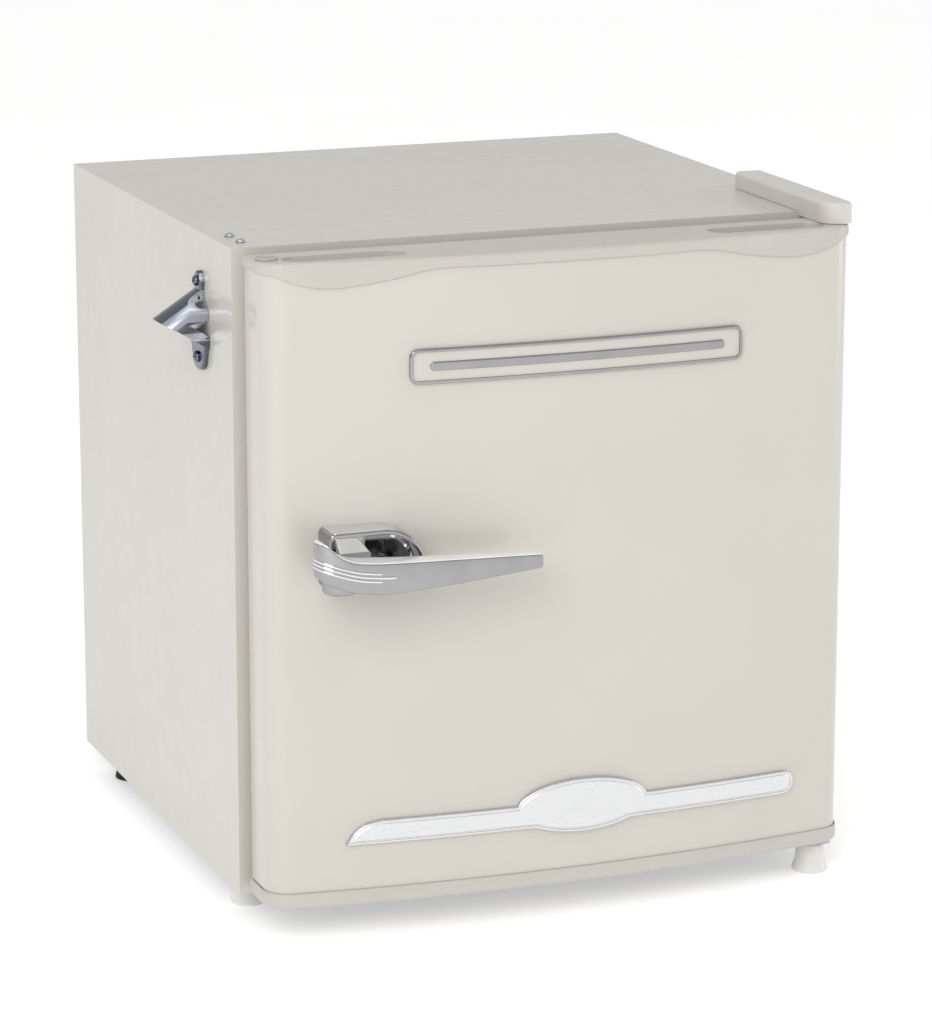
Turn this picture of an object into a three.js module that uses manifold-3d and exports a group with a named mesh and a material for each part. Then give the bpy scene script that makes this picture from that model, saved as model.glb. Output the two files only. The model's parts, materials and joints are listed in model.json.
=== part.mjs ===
// Retro cube refrigerator: a foamed steel cabinet on four feet, a bowed door hinged on the right,
// a chrome lever handle, a bottle opener on the left side and a small freezer compartment inside.
// Millimetres, +Z up, the door faces -Y. While it is built, x = 0 is the middle of the cabinet,
// y = 0 its front face and z = 0 the floor. The finished group is moved so that its origin is the
// middle of its footprint.
import * as THREE from "three";
import { mergeVertices } from "three/addons/utils/BufferGeometryUtils.js";
import Module from "manifold-3d";

const wasm = await Module();
wasm.setup();

// ---- driving dimensions ----
const GAP = 0.3; // between pieces that touch
const SHEET = 1.5; // cabinet sheet steel
const CABINET = { halfWidth: 222.5, depth: 390, bottom: 24, top: 479 };
const WALL = 36; // cabinet wall, outer sheet to inner liner
const COIL_ROOM = 5.5; // between a side sheet and the foam, for the condenser tube
const LINER = 2; // vacuum-formed liner sheet
const LINER_BACK = 350;
const FLANGE = 24.5; // front return of the cabinet sheet
const MACHINE = { front: 226.5, top: 208 }; // compressor compartment, at the bottom rear
const STEP = { front: 190, low: 204, back: 230, top: 244 }; // liner bulge over that compartment

const DOOR = { halfWidth: 217.5, bottom: 27, top: 476, back: -9, front: -67 };
const DOOR_CORNER = 20;
const DOOR_BOW = 1400; // radius of the bowed front
const SKIN_INSET = 1.5; // door sheet behind the outer face of the two caps
const SKIN = 1.2;
const CAP = 3; // thickness of the cap plates
const CAP_SKIRT = 1.2;
const DYKE = { halfWidth: 172, bottom: 70, top: 440, depth: 22, width: 12 };

const HINGE = { x: 208, y: -31, pin: 3.5 };
const HINGE_SCREWS = [21, 45]; // y of the two screws, at x = SCREW_X on the right
const SCREW_X = 209;
const SCREW_HOLE = 2.4; // radius of every clearance hole for a 4 mm screw
const LEFT_FOOT = [-200, 50]; // under the cabinet
const RIGHT_FOOT = [202, -28]; // under the lower hinge bracket

const FREEZER = { x: [-180, 70], y: [130, 335], z: [345, 437], sheet: 1.6 };
const FLAP_AXIS = { y: 116, z: 434, pin: 2 };
const TRAY_RIM = 336.8;
const SHELF = { z: 248, glass: 4, front: 89, back: 341 };
const KNOB = { x: 145, z: 417, radius: 15 };
const COMPRESSOR = { x: -40, y: 305, radius: 60 };
const SUCTION_RISE = { x: 30, y: 370, z: 395, radius: 4 };

const BIN = {
  halfWidth: 158.5,
  wall: 2,
  lower: { z: [DYKE.bottom + DYKE.width + GAP, 165], reach: 72 },
  upper: { z: [270, 330], reach: 58 },
};
const BADGE = { x: [-118, 126], z: [390, 414], corner: 6, rim: 3 };
const TRIM = { z: [70.5, 87], tip: -164, roundEnd: 165 };
const HANDLE_BASE = { x: [-181, -112.5], z: [254, 296.5], front: -78 };
const PIVOT = { x: -177.4, y: -88, radius: 12, bottom: 258.5 };
const LEVER = { nose: -199, tip: -37.5, face: -109 };
const OPENER = { y: 67, top: 446, bottom: 393, plate: 3.5, hood: 16, wall: 2.6 };

// ---- finishes ----
const cream = finish(0xd9d6cf, 0.38, 0.1);
const capCream = finish(0xccc9c2, 0.45, 0);
const chrome = finish(0xc9cbce, 0.12, 1);
const steel = finish(0xa9abad, 0.4, 0.9);
const zinc = finish(0xb4b5b2, 0.45, 0.8);
const white = finish(0xecedea, 0.45, 0);
const clear = finish(0xdfe8ea, 0.15, 0);
const glass = finish(0xc7dcd6, 0.05, 0);
const foamYellow = finish(0xe0cf9d, 0.95, 0);
const black = finish(0x1b1c1e, 0.6, 0.1);
const rubber = finish(0x2a2a2b, 0.85, 0);
const grey = finish(0x9d9b95, 0.75, 0);
const copper = finish(0xb87352, 0.35, 1);
const aluminium = finish(0xc3c6c8, 0.4, 0.9);

function finish(color, roughness, metalness) {
  return new THREE.MeshStandardMaterial({ color, roughness, metalness });
}

// ---- solids from three.js geometry ----
function toSolid(geometry) {
  const flat = geometry.index ? geometry.toNonIndexed() : geometry;
  const bare = new THREE.BufferGeometry();
  bare.setAttribute("position", flat.getAttribute("position").clone());
  const merged = mergeVertices(bare, 1e-3);
  const corners = merged.index.array;
  const kept = [];
  for (let i = 0; i < corners.length; i += 3) {
    const [a, b, c] = corners.slice(i, i + 3);
    if (a !== b && b !== c && c !== a) kept.push(a, b, c);
  }
  return new wasm.Manifold(
    new wasm.Mesh({
      numProp: 3,
      vertProperties: merged.getAttribute("position").array,
      triVerts: new Uint32Array(kept),
    }),
  );
}

function toGeometry(solid) {
  const mesh = solid.getMesh();
  const geometry = new THREE.BufferGeometry();
  geometry.setAttribute("position", new THREE.BufferAttribute(mesh.vertProperties, 3));
  geometry.setIndex(new THREE.BufferAttribute(mesh.triVerts, 1));
  geometry.computeVertexNormals();
  return geometry;
}

function join(...solids) {
  return solids.reduce((sum, solid) => sum.add(solid));
}

function cut(body, ...tools) {
  return tools.reduce((left, tool) => left.subtract(tool), body);
}

function block([x0, x1], [y0, y1], [z0, z1]) {
  const geometry = new THREE.BoxGeometry(x1 - x0, y1 - y0, z1 - z0);
  geometry.translate((x0 + x1) / 2, (y0 + y1) / 2, (z0 + z1) / 2);
  return toSolid(geometry);
}

function extrude(shape, depth, curveSegments) {
  return new THREE.ExtrudeGeometry(shape, { depth, bevelEnabled: false, curveSegments });
}

// A shape drawn in (x, y), raised from z0 to z1.
function prismZ(shape, [z0, z1], curveSegments = 3) {
  return toSolid(extrude(shape, z1 - z0, curveSegments).translate(0, 0, z0));
}

// A shape drawn in (x, z), drawn out from y0 to y1.
function prismY(shape, [y0, y1], curveSegments = 3) {
  const geometry = extrude(shape, y1 - y0, curveSegments);
  return toSolid(geometry.rotateX(Math.PI / 2).translate(0, y1, 0));
}

// A shape drawn in (y, z), drawn out from x0 to x1.
function prismX(shape, [x0, x1], curveSegments = 3) {
  const turn = new THREE.Matrix4().set(0, 0, 1, x0, 1, 0, 0, 0, 0, 1, 0, 0, 0, 0, 0, 1);
  return toSolid(extrude(shape, x1 - x0, curveSegments).applyMatrix4(turn));
}

function polygon(points) {
  return new THREE.Shape(points.map(([u, v]) => new THREE.Vector2(u, v)));
}

// A rectangle with its own radius at each corner: low-left, low-right, top-right, top-left.
function roundedRect([u0, u1], [v0, v1], radii) {
  const [a, b, c, d] = Array.isArray(radii) ? radii : [radii, radii, radii, radii];
  const shape = new THREE.Shape();
  shape.moveTo(u0 + a, v0);
  shape.lineTo(u1 - b, v0);
  if (b > 0) shape.absarc(u1 - b, v0 + b, b, -Math.PI / 2, 0);
  shape.lineTo(u1, v1 - c);
  if (c > 0) shape.absarc(u1 - c, v1 - c, c, 0, Math.PI / 2);
  shape.lineTo(u0 + d, v1);
  if (d > 0) shape.absarc(u0 + d, v1 - d, d, Math.PI / 2, Math.PI);
  shape.lineTo(u0, v0 + a);
  if (a > 0) shape.absarc(u0 + a, v0 + a, a, Math.PI, 1.5 * Math.PI);
  return shape;
}

function rod(from, to, radius, sides = 12, endRadius = radius) {
  const start = new THREE.Vector3(...from);
  const along = new THREE.Vector3(...to).sub(start);
  const geometry = new THREE.CylinderGeometry(endRadius, radius, along.length(), sides);
  const turn = new THREE.Quaternion();
  turn.setFromUnitVectors(new THREE.Vector3(0, 1, 0), along.clone().normalize());
  geometry.applyQuaternion(turn);
  geometry.translate(...start.addScaledVector(along, 0.5).toArray());
  return toSolid(geometry);
}

// A turned piece: profile points are [radius, height] up the axis from `centre`, which points
// along +Z unless `axis` says otherwise.
function turned(profile, centre, sides = 16, axis = [0, 0, 1]) {
  const points = profile.map(([radius, height]) => new THREE.Vector2(radius, height));
  const geometry = new THREE.LatheGeometry(points, sides);
  const turn = new THREE.Quaternion();
  turn.setFromUnitVectors(new THREE.Vector3(0, 1, 0), new THREE.Vector3(...axis));
  geometry.applyQuaternion(turn);
  geometry.translate(...centre);
  return toSolid(geometry);
}

// A path whose steps fall on chosen knots, so straight runs need only their two ends.
class KnotPath extends THREE.Curve {
  constructor(knots) {
    super();
    this.knots = knots;
  }
  at(u) {
    return Math.round(u * (this.knots.length - 1));
  }
  getPointAt(u, target = new THREE.Vector3()) {
    return target.copy(this.knots[this.at(u)]);
  }
  getTangentAt(u, target = new THREE.Vector3()) {
    const i = this.at(u);
    const here = this.knots[i];
    const before = this.knots[Math.max(i - 1, 0)];
    const after = this.knots[Math.min(i + 1, this.knots.length - 1)];
    const inward = here.clone().sub(before).normalize();
    const outward = after.clone().sub(here).normalize();
    return target.copy(inward.add(outward)).normalize();
  }
}

// A tube through the corner points, each corner rounded to about `bend`.
function tube(corners, radius, bend, sides = 6) {
  const points = corners.map((corner) => new THREE.Vector3(...corner));
  const knots = [points[0]];
  for (let i = 1; i < points.length - 1; i++) {
    const back = points[i - 1].clone().sub(points[i]).setLength(bend).add(points[i]);
    const ahead = points[i + 1].clone().sub(points[i]).setLength(bend).add(points[i]);
    const round = new THREE.QuadraticBezierCurve3(back, points[i], ahead).getPoints(3);
    if (round[0].distanceTo(knots[knots.length - 1]) < 1e-6) round.shift();
    knots.push(...round);
  }
  knots.push(points[points.length - 1]);
  const section = new THREE.Shape();
  section.absarc(0, 0, radius, 0, 2 * Math.PI);
  const options = { steps: knots.length - 1, extrudePath: new KnotPath(knots) };
  return toSolid(new THREE.ExtrudeGeometry(section, { ...options, curveSegments: sides / 2 }));
}

const fridge = new THREE.Group();
fridge.name = "retro_fridge";

function add(name, solid, material) {
  const mesh = new THREE.Mesh(toGeometry(solid), material);
  mesh.name = name;
  fridge.add(mesh);
}

// ---- cabinet ----
const cabinetX = [-CABINET.halfWidth, CABINET.halfWidth];
const cabinetZ = [CABINET.bottom, CABINET.top];
const cavityX = CABINET.halfWidth - WALL;
const cavityZ = [CABINET.bottom + WALL, CABINET.top - WALL];
const withinSides = CABINET.halfWidth - SHEET - GAP;
const coilPlane = CABINET.halfWidth - SHEET - COIL_ROOM / 2;
const foamX = CABINET.halfWidth - SHEET - COIL_ROOM;
const lipOuterX = CABINET.halfWidth - FLANGE - GAP;
const lipZ = [CABINET.bottom + FLANGE, CABINET.top - FLANGE - GAP];

function cabinetShell() {
  const { halfWidth, depth, top } = CABINET;
  const outside = block(cabinetX, [0, depth], cabinetZ);
  const inside = block(
    [-halfWidth + SHEET, halfWidth - SHEET],
    [SHEET, depth + 1],
    [cabinetZ[0] - 1, top - SHEET],
  );
  const mouth = block(
    [-halfWidth + FLANGE, halfWidth - FLANGE],
    [-1, SHEET + 1],
    [cabinetZ[0] - 1, top - FLANGE],
  );
  const holes = [];
  for (const y of HINGE_SCREWS)
    for (const x of [-SCREW_X, SCREW_X])
      holes.push(rod([x, y, top - 5], [x, y, top + 5], SCREW_HOLE, 8));
  for (const z of [OPENER.top, OPENER.bottom])
    holes.push(rod([-halfWidth - 5, OPENER.y, z], [-halfWidth + 5, OPENER.y, z], SCREW_HOLE, 8));
  return cut(outside, inside, mouth, ...holes);
}

// Profile (y, z) of the cavity, grown outwards by t all round.
function cavityProfile(t, front) {
  const slant = t * (Math.SQRT2 - 1);
  return polygon([
    [front, cavityZ[0] - t],
    [STEP.front + t, cavityZ[0] - t],
    [STEP.front + t, STEP.low - slant],
    [STEP.back + slant, STEP.top - t],
    [LINER_BACK + t, STEP.top - t],
    [LINER_BACK + t, cavityZ[1] + t],
    [front, cavityZ[1] + t],
  ]);
}

function innerLiner() {
  const outer = cavityX + LINER;
  const box = prismX(cavityProfile(LINER, 0), [-outer, outer]);
  const lip = block([-lipOuterX, lipOuterX], [0, LINER], lipZ);
  const cavity = prismX(cavityProfile(0, -1), [-cavityX, cavityX]);
  const shelfLedges = [-1, 1].map((side) =>
    block(span(side, cavityX - 5.5, cavityX + 1), [80, LINER_BACK + 1], [SHELF.z - 5, SHELF.z - GAP]),
  );
  const ceilingRibs = [-150, 40].map((x) =>
    block([x - 6, x + 6], [140, 325], [FREEZER.z[1] + GAP, cavityZ[1] + 1]),
  );
  const tubeHole = rod(
    [SUCTION_RISE.x, LINER_BACK - 5, SUCTION_RISE.z],
    [SUCTION_RISE.x, LINER_BACK + 8, SUCTION_RISE.z],
    SUCTION_RISE.radius + GAP,
    8,
  );
  return cut(join(cut(join(box, lip), cavity), ...shelfLedges, ...ceilingRibs), tubeHole);
}

// Low and high x of a stretch between two distances from the middle, on one side (-1 or 1).
function span(side, near, far) {
  return side > 0 ? [near, far] : [-far, -near];
}

function insulationFoam() {
  const rear = CABINET.depth - SHEET - GAP;
  const slab = block([-foamX, foamX], [LINER + GAP, rear], [
    CABINET.bottom + SHEET + GAP,
    CABINET.top - SHEET - GAP,
  ]);
  const room = LINER + GAP;
  const liner = prismX(cavityProfile(room, -1), [-cavityX - room, cavityX + room]);
  const machine = block(
    [-foamX - 1, foamX + 1],
    [MACHINE.front - GAP, rear + 1],
    [CABINET.bottom, MACHINE.top + GAP],
  );
  const channel = suctionLine(MACHINE.top - 5, LINER_BACK - 5, SUCTION_RISE.radius + 1);
  const [footX, footY] = LEFT_FOOT;
  const footHole = rod([footX, footY, 20], [footX, footY, 50], 5, 10);
  return cut(slab, liner, machine, channel, footHole);
}

function basePan() {
  const { bottom } = CABINET;
  const wide = [-withinSides, withinSides];
  const narrow = [-foamX + GAP, foamX - GAP];
  const between = [-lipOuterX, lipOuterX];
  const floor = block(wide, [SHEET + GAP, MACHINE.front + SHEET], [bottom, bottom + SHEET]);
  const frontEdge = block(between, [0, SHEET + 1], [bottom, bottom + SHEET]);
  const frontLip = block(between, [0, SHEET], [bottom, lipZ[0] - GAP]);
  const riser = block(narrow, [MACHINE.front, MACHINE.front + SHEET], [bottom, MACHINE.top]);
  const roof = block(narrow, [MACHINE.front, CABINET.depth - SHEET - GAP], [
    MACHINE.top - SHEET,
    MACHINE.top,
  ]);
  const [footX, footY] = LEFT_FOOT;
  const holes = [rod([footX, footY, bottom - 2], [footX, footY, bottom + 3], 4.4, 10)];
  for (const y of HINGE_SCREWS)
    holes.push(rod([SCREW_X, y, bottom - 2], [SCREW_X, y, bottom + 3], SCREW_HOLE, 8));
  const { x, y } = SUCTION_RISE;
  holes.push(rod([x, y, MACHINE.top - 5], [x, y, MACHINE.top + 5], SUCTION_RISE.radius + 1, 8));
  return cut(join(floor, frontEdge, frontLip, riser, roof), ...holes);
}

function backPanel() {
  return block([-withinSides, withinSides], [CABINET.depth - SHEET, CABINET.depth], [
    MACHINE.top + GAP,
    CABINET.top - SHEET - GAP,
  ]);
}

// Serpentine of condenser tube against one side sheet, its tail down in the machine compartment.
function condenserCoil(side) {
  const x = side * coilPlane;
  const rows = 6;
  const pitch = 44;
  const firstRow = 236;
  const ends = [28, 362];
  const corners = [
    [x, 340, 140],
    [x, 340, firstRow],
  ];
  for (let row = 0; row < rows; row++) {
    const z = firstRow + row * pitch;
    corners.push([x, ends[row % 2], z]);
    if (row < rows - 1) corners.push([x, ends[row % 2], z + pitch]);
  }
  return tube(corners, 2.1, pitch / 2 - 2);
}

// ---- compressor compartment ----
const plateZ = [CABINET.bottom, CABINET.bottom + 2];
const grommetSpots = [
  [-110, 262],
  [30, 262],
  [-110, 348],
  [30, 348],
];
const rearFeet = [-195, 195];
const rearFootY = 360;
const gland = { x: 130, z: 44, radius: 7 };

function compressorPlate() {
  const rear = CABINET.depth - SHEET - GAP;
  const front = MACHINE.front + SHEET + GAP;
  const floor = block([-withinSides, withinSides], [front, rear], plateZ);
  const upstand = block([-withinSides, withinSides], [rear - SHEET, rear], [plateZ[0], 60]);
  const studs = grommetSpots.map(([x, y]) => rod([x, y, plateZ[1] - 1], [x, y, 44], 2.8, 8));
  const holes = rearFeet.map((x) => rod([x, rearFootY, 20], [x, rearFootY, 30], 3.4, 8));
  holes.push(rod([gland.x, rear - 5, gland.z], [gland.x, rear + 5, gland.z], gland.radius, 12));
  return cut(join(floor, upstand, ...studs), ...holes);
}

function compressor() {
  const { x, y, radius } = COMPRESSOR;
  const can = turned(
    [
      [0, 40],
      [radius * 0.6, 43],
      [radius * 0.92, 56],
      [radius - 2, 70],
      [radius - 2, 104],
      [radius, 106],
      [radius, 112],
      [radius - 2, 114],
      [radius - 3, 140],
      [radius * 0.8, 164],
      [radius * 0.42, 175],
      [0, 178],
    ],
    [x, y, 0],
    24,
  );
  const foot = prismZ(roundedRect([x - 84, x + 84], [y - 56, y + 56], 12), [33, 36]);
  const saddle = prismZ(roundedRect([x - 40, x + 40], [y - 30, y + 30], 6), [34, 60]);
  const holes = grommetSpots.map(([gx, gy]) => rod([gx, gy, 30], [gx, gy, 40], 5.8, 12));
  const stub = rod([x - radius + 8, y, 120], [x - radius - 12, y, 120], 3.6, 8);
  return join(cut(join(foot, saddle), ...holes), can, stub);
}

function grommet([x, y]) {
  const bottom = plateZ[1] + GAP;
  return turned(
    [
      [3.2, bottom],
      [9, bottom],
      [9, 32.7],
      [5.4, 32.7],
      [5.4, 36.4],
      [8, 36.4],
      [7, 42],
      [3.2, 42],
      [3.2, bottom],
    ],
    [x, y, 0],
    12,
  );
}

function relayCover() {
  const { x, y, radius } = COMPRESSOR;
  const box = block([x + radius - 16, x + radius + 26], [y - 24, y + 24], [74, 136]);
  return cut(box, rod([x, y, 30], [x, y, 180], radius + 1.2, 24));
}

const drier = { x: -172, y: 345, radius: 9 };

function filterDrier() {
  const { x, y, radius } = drier;
  return turned(
    [
      [0, 68],
      [3, 68],
      [3, 78],
      [radius, 86],
      [radius, 134],
      [3, 142],
      [3, 152],
      [0, 152],
    ],
    [x, y, 0],
    12,
  );
}

// From the compressor's stub to the tail of the left coil.
function dischargeTube() {
  const { x, y, radius } = COMPRESSOR;
  const start = x - radius - 12 - GAP;
  const turnX = -150;
  return tube(
    [
      [start, y, 120],
      [turnX, y, 120],
      [turnX, y - 40, 120],
      [-coilPlane, y - 40, 120],
      [-coilPlane, 340, 120],
      [-coilPlane, 340, 140 - GAP],
    ],
    2.1,
    12,
  );
}

// From beside the compressor up through the foam and forward to the back of the evaporator.
function suctionLine(from, to, radius) {
  const { x, y, z } = SUCTION_RISE;
  return tube(
    [
      [x, y, from],
      [x, y, z],
      [x, to, z],
    ],
    radius,
    14,
    8,
  );
}

function cordGland() {
  const outside = CABINET.depth - SHEET - GAP;
  const { x, z, radius } = gland;
  const bore = 3.6;
  return turned(
    [
      [bore, -8],
      [radius + 3, -8],
      [radius + 3, -SHEET - GAP],
      [radius - GAP, -SHEET - GAP],
      [radius - GAP, GAP],
      [radius + 1, GAP],
      [radius + 1, 1.4],
      [bore, 1.4],
      [bore, -8],
    ],
    [x, outside, z],
    12,
    [0, 1, 0],
  );
}

// ---- freezer compartment, tray, shelf and thermostat ----
function evaporator() {
  const { x, y, z, sheet } = FREEZER;
  const shell = cut(
    block(x, y, z),
    block([x[0] + sheet, x[1] - sheet], [y[0] - 1, y[1] - sheet], [z[0] + sheet, z[1] - sheet]),
  );
  const railBottom = TRAY_RIM - 1.8 - GAP - sheet;
  const rails = [
    block([x[0], x[0] + sheet], y, [railBottom, z[0] + 1]),
    block([x[0], x[0] + 6], y, [railBottom, railBottom + sheet]),
    block([x[1] - sheet, x[1]], y, [railBottom, z[0] + 1]),
    block([x[1] - 6, x[1]], y, [railBottom, railBottom + sheet]),
  ];
  return join(shell, ...rails);
}

function freezerFrame() {
  const { x, y, z } = FREEZER;
  const depth = [y[0] - GAP - 8.7, y[0] - GAP];
  const plate = prismY(roundedRect([x[0] - 3, x[1] + 3], [z[0] - 4, z[1] + 2], 4), depth);
  const opening = block([x[0] + 9, x[1] - 9], [0, 200], [z[0] + 9, z[1] - 8]);
  const ears = [
    [x[0] - 3, x[0] + 2],
    [x[1] - 2, x[1] + 3],
  ].map((width) => block(width, [FLAP_AXIS.y - 5, depth[0] + 1], [FLAP_AXIS.z - 5, FLAP_AXIS.z + 4]));
  const { y: pinY, z: pinZ, pin } = FLAP_AXIS;
  const bore = rod([x[0] - 10, pinY, pinZ], [x[1] + 10, pinY, pinZ], pin + 0.2, 12);
  return cut(join(plate, ...ears), opening, bore);
}

function freezerFlap() {
  const { x } = FREEZER;
  const { y, z, pin } = FLAP_AXIS;
  const left = x[0] + 2 + 0.5;
  const right = x[1] - 2 - 0.5;
  const panel = block([left, right], [y - 3, y + 3], [z - 87, z + 3.5]);
  const hollow = block([left + 6, right - 6], [y - 1, y + 4], [z - 81, z - 6]);
  const lip = block([-100, -10], [y - 8, y - 2], [z - 86, z - 82]);
  const pins = rod([x[0] - 2.5, y, z], [x[1] + 2.5, y, z], pin, 12);
  return join(cut(panel, hollow), lip, pins);
}

function dripTray() {
  const { x, y, sheet } = FREEZER;
  const inner = [x[0] + sheet + 0.5, x[1] - sheet - 0.5];
  const box = [inner[0] + 4.4, inner[1] - 4.4];
  const depth = [y[0] + 2, y[1] - 1];
  const bottom = TRAY_RIM - 15;
  const body = block(box, depth, [bottom, TRAY_RIM]);
  const rim = block(inner, depth, [TRAY_RIM - 1.8, TRAY_RIM]);
  const hollow = block([box[0] + 1.8, box[1] - 1.8], [depth[0] + 1.8, depth[1] - 1.8], [
    bottom + 1.8,
    TRAY_RIM + 1,
  ]);
  const pull = block([-95, -15], [depth[0] - 6, depth[0] + 1], [TRAY_RIM - 4, TRAY_RIM - 1.8]);
  return cut(join(body, rim, pull), hollow);
}

const shelfX = [-cavityX + 3, cavityX - 3];

function shelfGlass() {
  const { z, glass: thick, front, back } = SHELF;
  return block(shelfX, [front, back], [z, z + thick]);
}

// The two strips clip over the front and the rear edge of the glass.
function shelfTrim(edge, inward) {
  const { z, glass: thick } = SHELF;
  const reach = [edge - inward * 4, edge + inward * 8];
  const y = [Math.min(...reach), Math.max(...reach)];
  const strip = block([-cavityX + 6, cavityX - 6], y, [z - 2.2, z + thick + 2.2]);
  const slotY = [edge - inward * GAP, edge + inward * 9];
  const slot = block([-200, 200], [Math.min(...slotY), Math.max(...slotY)], [
    z - GAP,
    z + thick + GAP,
  ]);
  return cut(strip, slot);
}

function thermostatHousing() {
  const x = [104, cavityX - GAP];
  const y = [65, 145];
  const z = [392, cavityZ[1] - GAP];
  const box = prismY(roundedRect(x, z, [6, 0, 0, 0]), y);
  const hollow = block([x[0] + 2, x[1] - 2], [y[0] + 2, y[1] - 2], [z[0] + 2, z[1] + 1]);
  const bore = rod([KNOB.x, y[0] - 2, KNOB.z], [KNOB.x, y[0] + 4, KNOB.z], 4.4, 12);
  return cut(box, hollow, bore);
}

function thermostatKnob() {
  const { x, z, radius } = KNOB;
  const face = 65 - GAP;
  const body = turned(
    [
      [0, -10],
      [3.9, -10],
      [3.9, 0],
      [radius, 0],
      [radius, 4],
      [radius - 2, 5],
      [radius - 3, 13],
      [radius - 4.5, 14],
      [0, 14],
    ],
    [x, face, z],
    24,
    [0, -1, 0],
  );
  const grip = block([x - 1.6, x + 1.6], [face - 16.5, face - 13], [z - 9, z + 11]);
  return join(body, grip);
}

// ---- feet, plugs and fasteners ----
function foot([x, y], top, studTop) {
  return turned(
    [
      [0, 0],
      [12.5, 0],
      [13, 1.5],
      [12.3, 4],
      [10.6, 9],
      [10.2, top - 1],
      [9.6, top],
      [4, top],
      [4, studTop],
      [0, studTop],
    ],
    [x, y, 0],
    20,
  );
}

function rearFoot(x) {
  const top = CABINET.bottom - GAP;
  return turned(
    [
      [0, 0],
      [12.5, 0],
      [13, 1.5],
      [10.6, 9],
      [10.2, top],
      [3.1, top],
      [3.1, 30],
      [0, 30],
    ],
    [x, rearFootY, 0],
    20,
  );
}

function topPlug(y) {
  const z = CABINET.top + GAP;
  return turned(
    [
      [0, -1.9],
      [2, -1.9],
      [2, 0],
      [3.6, 0],
      [3.2, 1.2],
      [1.8, 2.1],
      [0, 2.3],
    ],
    [-SCREW_X, y, z],
    12,
  );
}

// Pan-head screw with its head's seat at `seat`, head towards `axis`.
function screw(seat, axis, shank, head = 4) {
  return turned(
    [
      [0, -shank],
      [2, -shank],
      [2, 0],
      [head, 0],
      [head, 1.2],
      [head * 0.7, 2.4],
      [0, 2.6],
    ],
    seat,
    10,
    axis,
  );
}

// ---- hinges ----
const COVER = { x: [196, 217.5], y: [-46, 108], wall: 1.8, skirt: DOOR.top + 0.4 };
const bracketX = [COVER.x[0] + COVER.wall + GAP, COVER.x[1] - COVER.wall - GAP];
const upperPlate = [CABINET.top + GAP, CABINET.top + GAP + 2.5];
const lowerPlate = [CABINET.bottom - GAP - 2.5, CABINET.bottom - GAP];

function hingeBracket(plate, pinTip, left) {
  const { x, y, pin } = HINGE;
  const strap = prismZ(roundedRect([left, bracketX[1]], [y - 8, 62], [8.5, 6, 4, 4]), plate);
  const middle = (plate[0] + plate[1]) / 2;
  const shaft = rod([x, y, middle], [x, y, pinTip], pin);
  const holes = HINGE_SCREWS.map((hole) =>
    rod([SCREW_X, hole, plate[0] - 1], [SCREW_X, hole, plate[1] + 1], SCREW_HOLE, 8),
  );
  return cut(join(strap, shaft), ...holes);
}

function lowerHingeBracket() {
  const [x, y] = RIGHT_FOOT;
  const plate = hingeBracket(lowerPlate, 38, 190);
  return cut(plate, rod([x, y, lowerPlate[0] - 3], [x, y, lowerPlate[0] + 1.6], 4.4, 12));
}

// A cap over the upper bracket; where it overhangs the door its skirt comes down to just above it.
function hingeCover() {
  const { x, y, wall, skirt } = COVER;
  const z = [CABINET.top + GAP, CABINET.top + 12.5];
  const plan = roundedRect(x, y, [15, 6, 3, 3]);
  const overDoor = block([x[0] - 1, x[1] + 1], [y[0] - 1, -2 * GAP], [skirt, z[0] + 1]);
  const outer = join(prismZ(plan, z, 4), prismZ(plan, [skirt, z[0] + 1], 4).intersect(overDoor));
  const room = roundedRect(
    [x[0] + wall, x[1] - wall],
    [y[0] + wall, y[1] - wall],
    [13.2, 4.2, 1.5, 1.5],
  );
  return cut(outer, prismZ(room, [skirt - 1, z[1] - wall], 4));
}

// ---- door ----
const bowCentre = DOOR.front + DOOR_BOW;
const cornerX = DOOR.halfWidth - DOOR_CORNER;
const cornerY = bowCentre - Math.sqrt((DOOR_BOW - DOOR_CORNER) ** 2 - cornerX ** 2);

// The door seen from above: flat back, rounded front corners, bowed front; `inset` from its faces.
function doorOutline(inset, back = DOOR.back) {
  const half = DOOR.halfWidth - inset;
  const radius = DOOR_CORNER - inset;
  const turn = Math.atan2(bowCentre - cornerY, cornerX);
  const shape = new THREE.Shape();
  shape.moveTo(half, back);
  shape.lineTo(-half, back);
  shape.lineTo(-half, cornerY);
  shape.absarc(-cornerX, cornerY, radius, Math.PI, Math.PI + turn);
  shape.absarc(0, bowCentre, DOOR_BOW - inset, Math.PI + turn, 2 * Math.PI - turn);
  shape.absarc(cornerX, cornerY, radius, 2 * Math.PI - turn, 2 * Math.PI);
  return shape;
}

const DOOR_SEGMENTS = 5;

function doorPrism(inset, z, back) {
  return prismZ(doorOutline(inset, back), z, DOOR_SEGMENTS);
}

function doorSkin() {
  const z = [DOOR.bottom + CAP + GAP, DOOR.top - CAP - GAP];
  const sheet = cut(
    doorPrism(SKIN_INSET, z),
    doorPrism(SKIN_INSET + SKIN, [z[0] - 1, z[1] + 1], DOOR.back + 5),
  );
  return sheet;
}

// Lower edge (x, z) of the top cap's front: level in the middle, dipping in a wave near each end.
function capWave() {
  const level = 468;
  const dip = 458;
  const shape = new THREE.Shape();
  shape.moveTo(-230, 440);
  shape.lineTo(230, 440);
  shape.lineTo(230, level);
  shape.lineTo(212, level);
  shape.bezierCurveTo(196, dip + 1, 186, dip, 168, dip);
  shape.bezierCurveTo(146, dip, 132, level, 100, level);
  shape.lineTo(-100, level);
  shape.bezierCurveTo(-132, level, -146, dip, -168, dip);
  shape.bezierCurveTo(-186, dip, -196, dip + 1, -212, level);
  shape.lineTo(-230, level);
  return shape;
}

const SLOT = { x: [112, 198], y: [-47, -23], depth: 15, wall: 1.5 };
const bushOuter = 6.2;
const bushFlange = 7.2;

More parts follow.
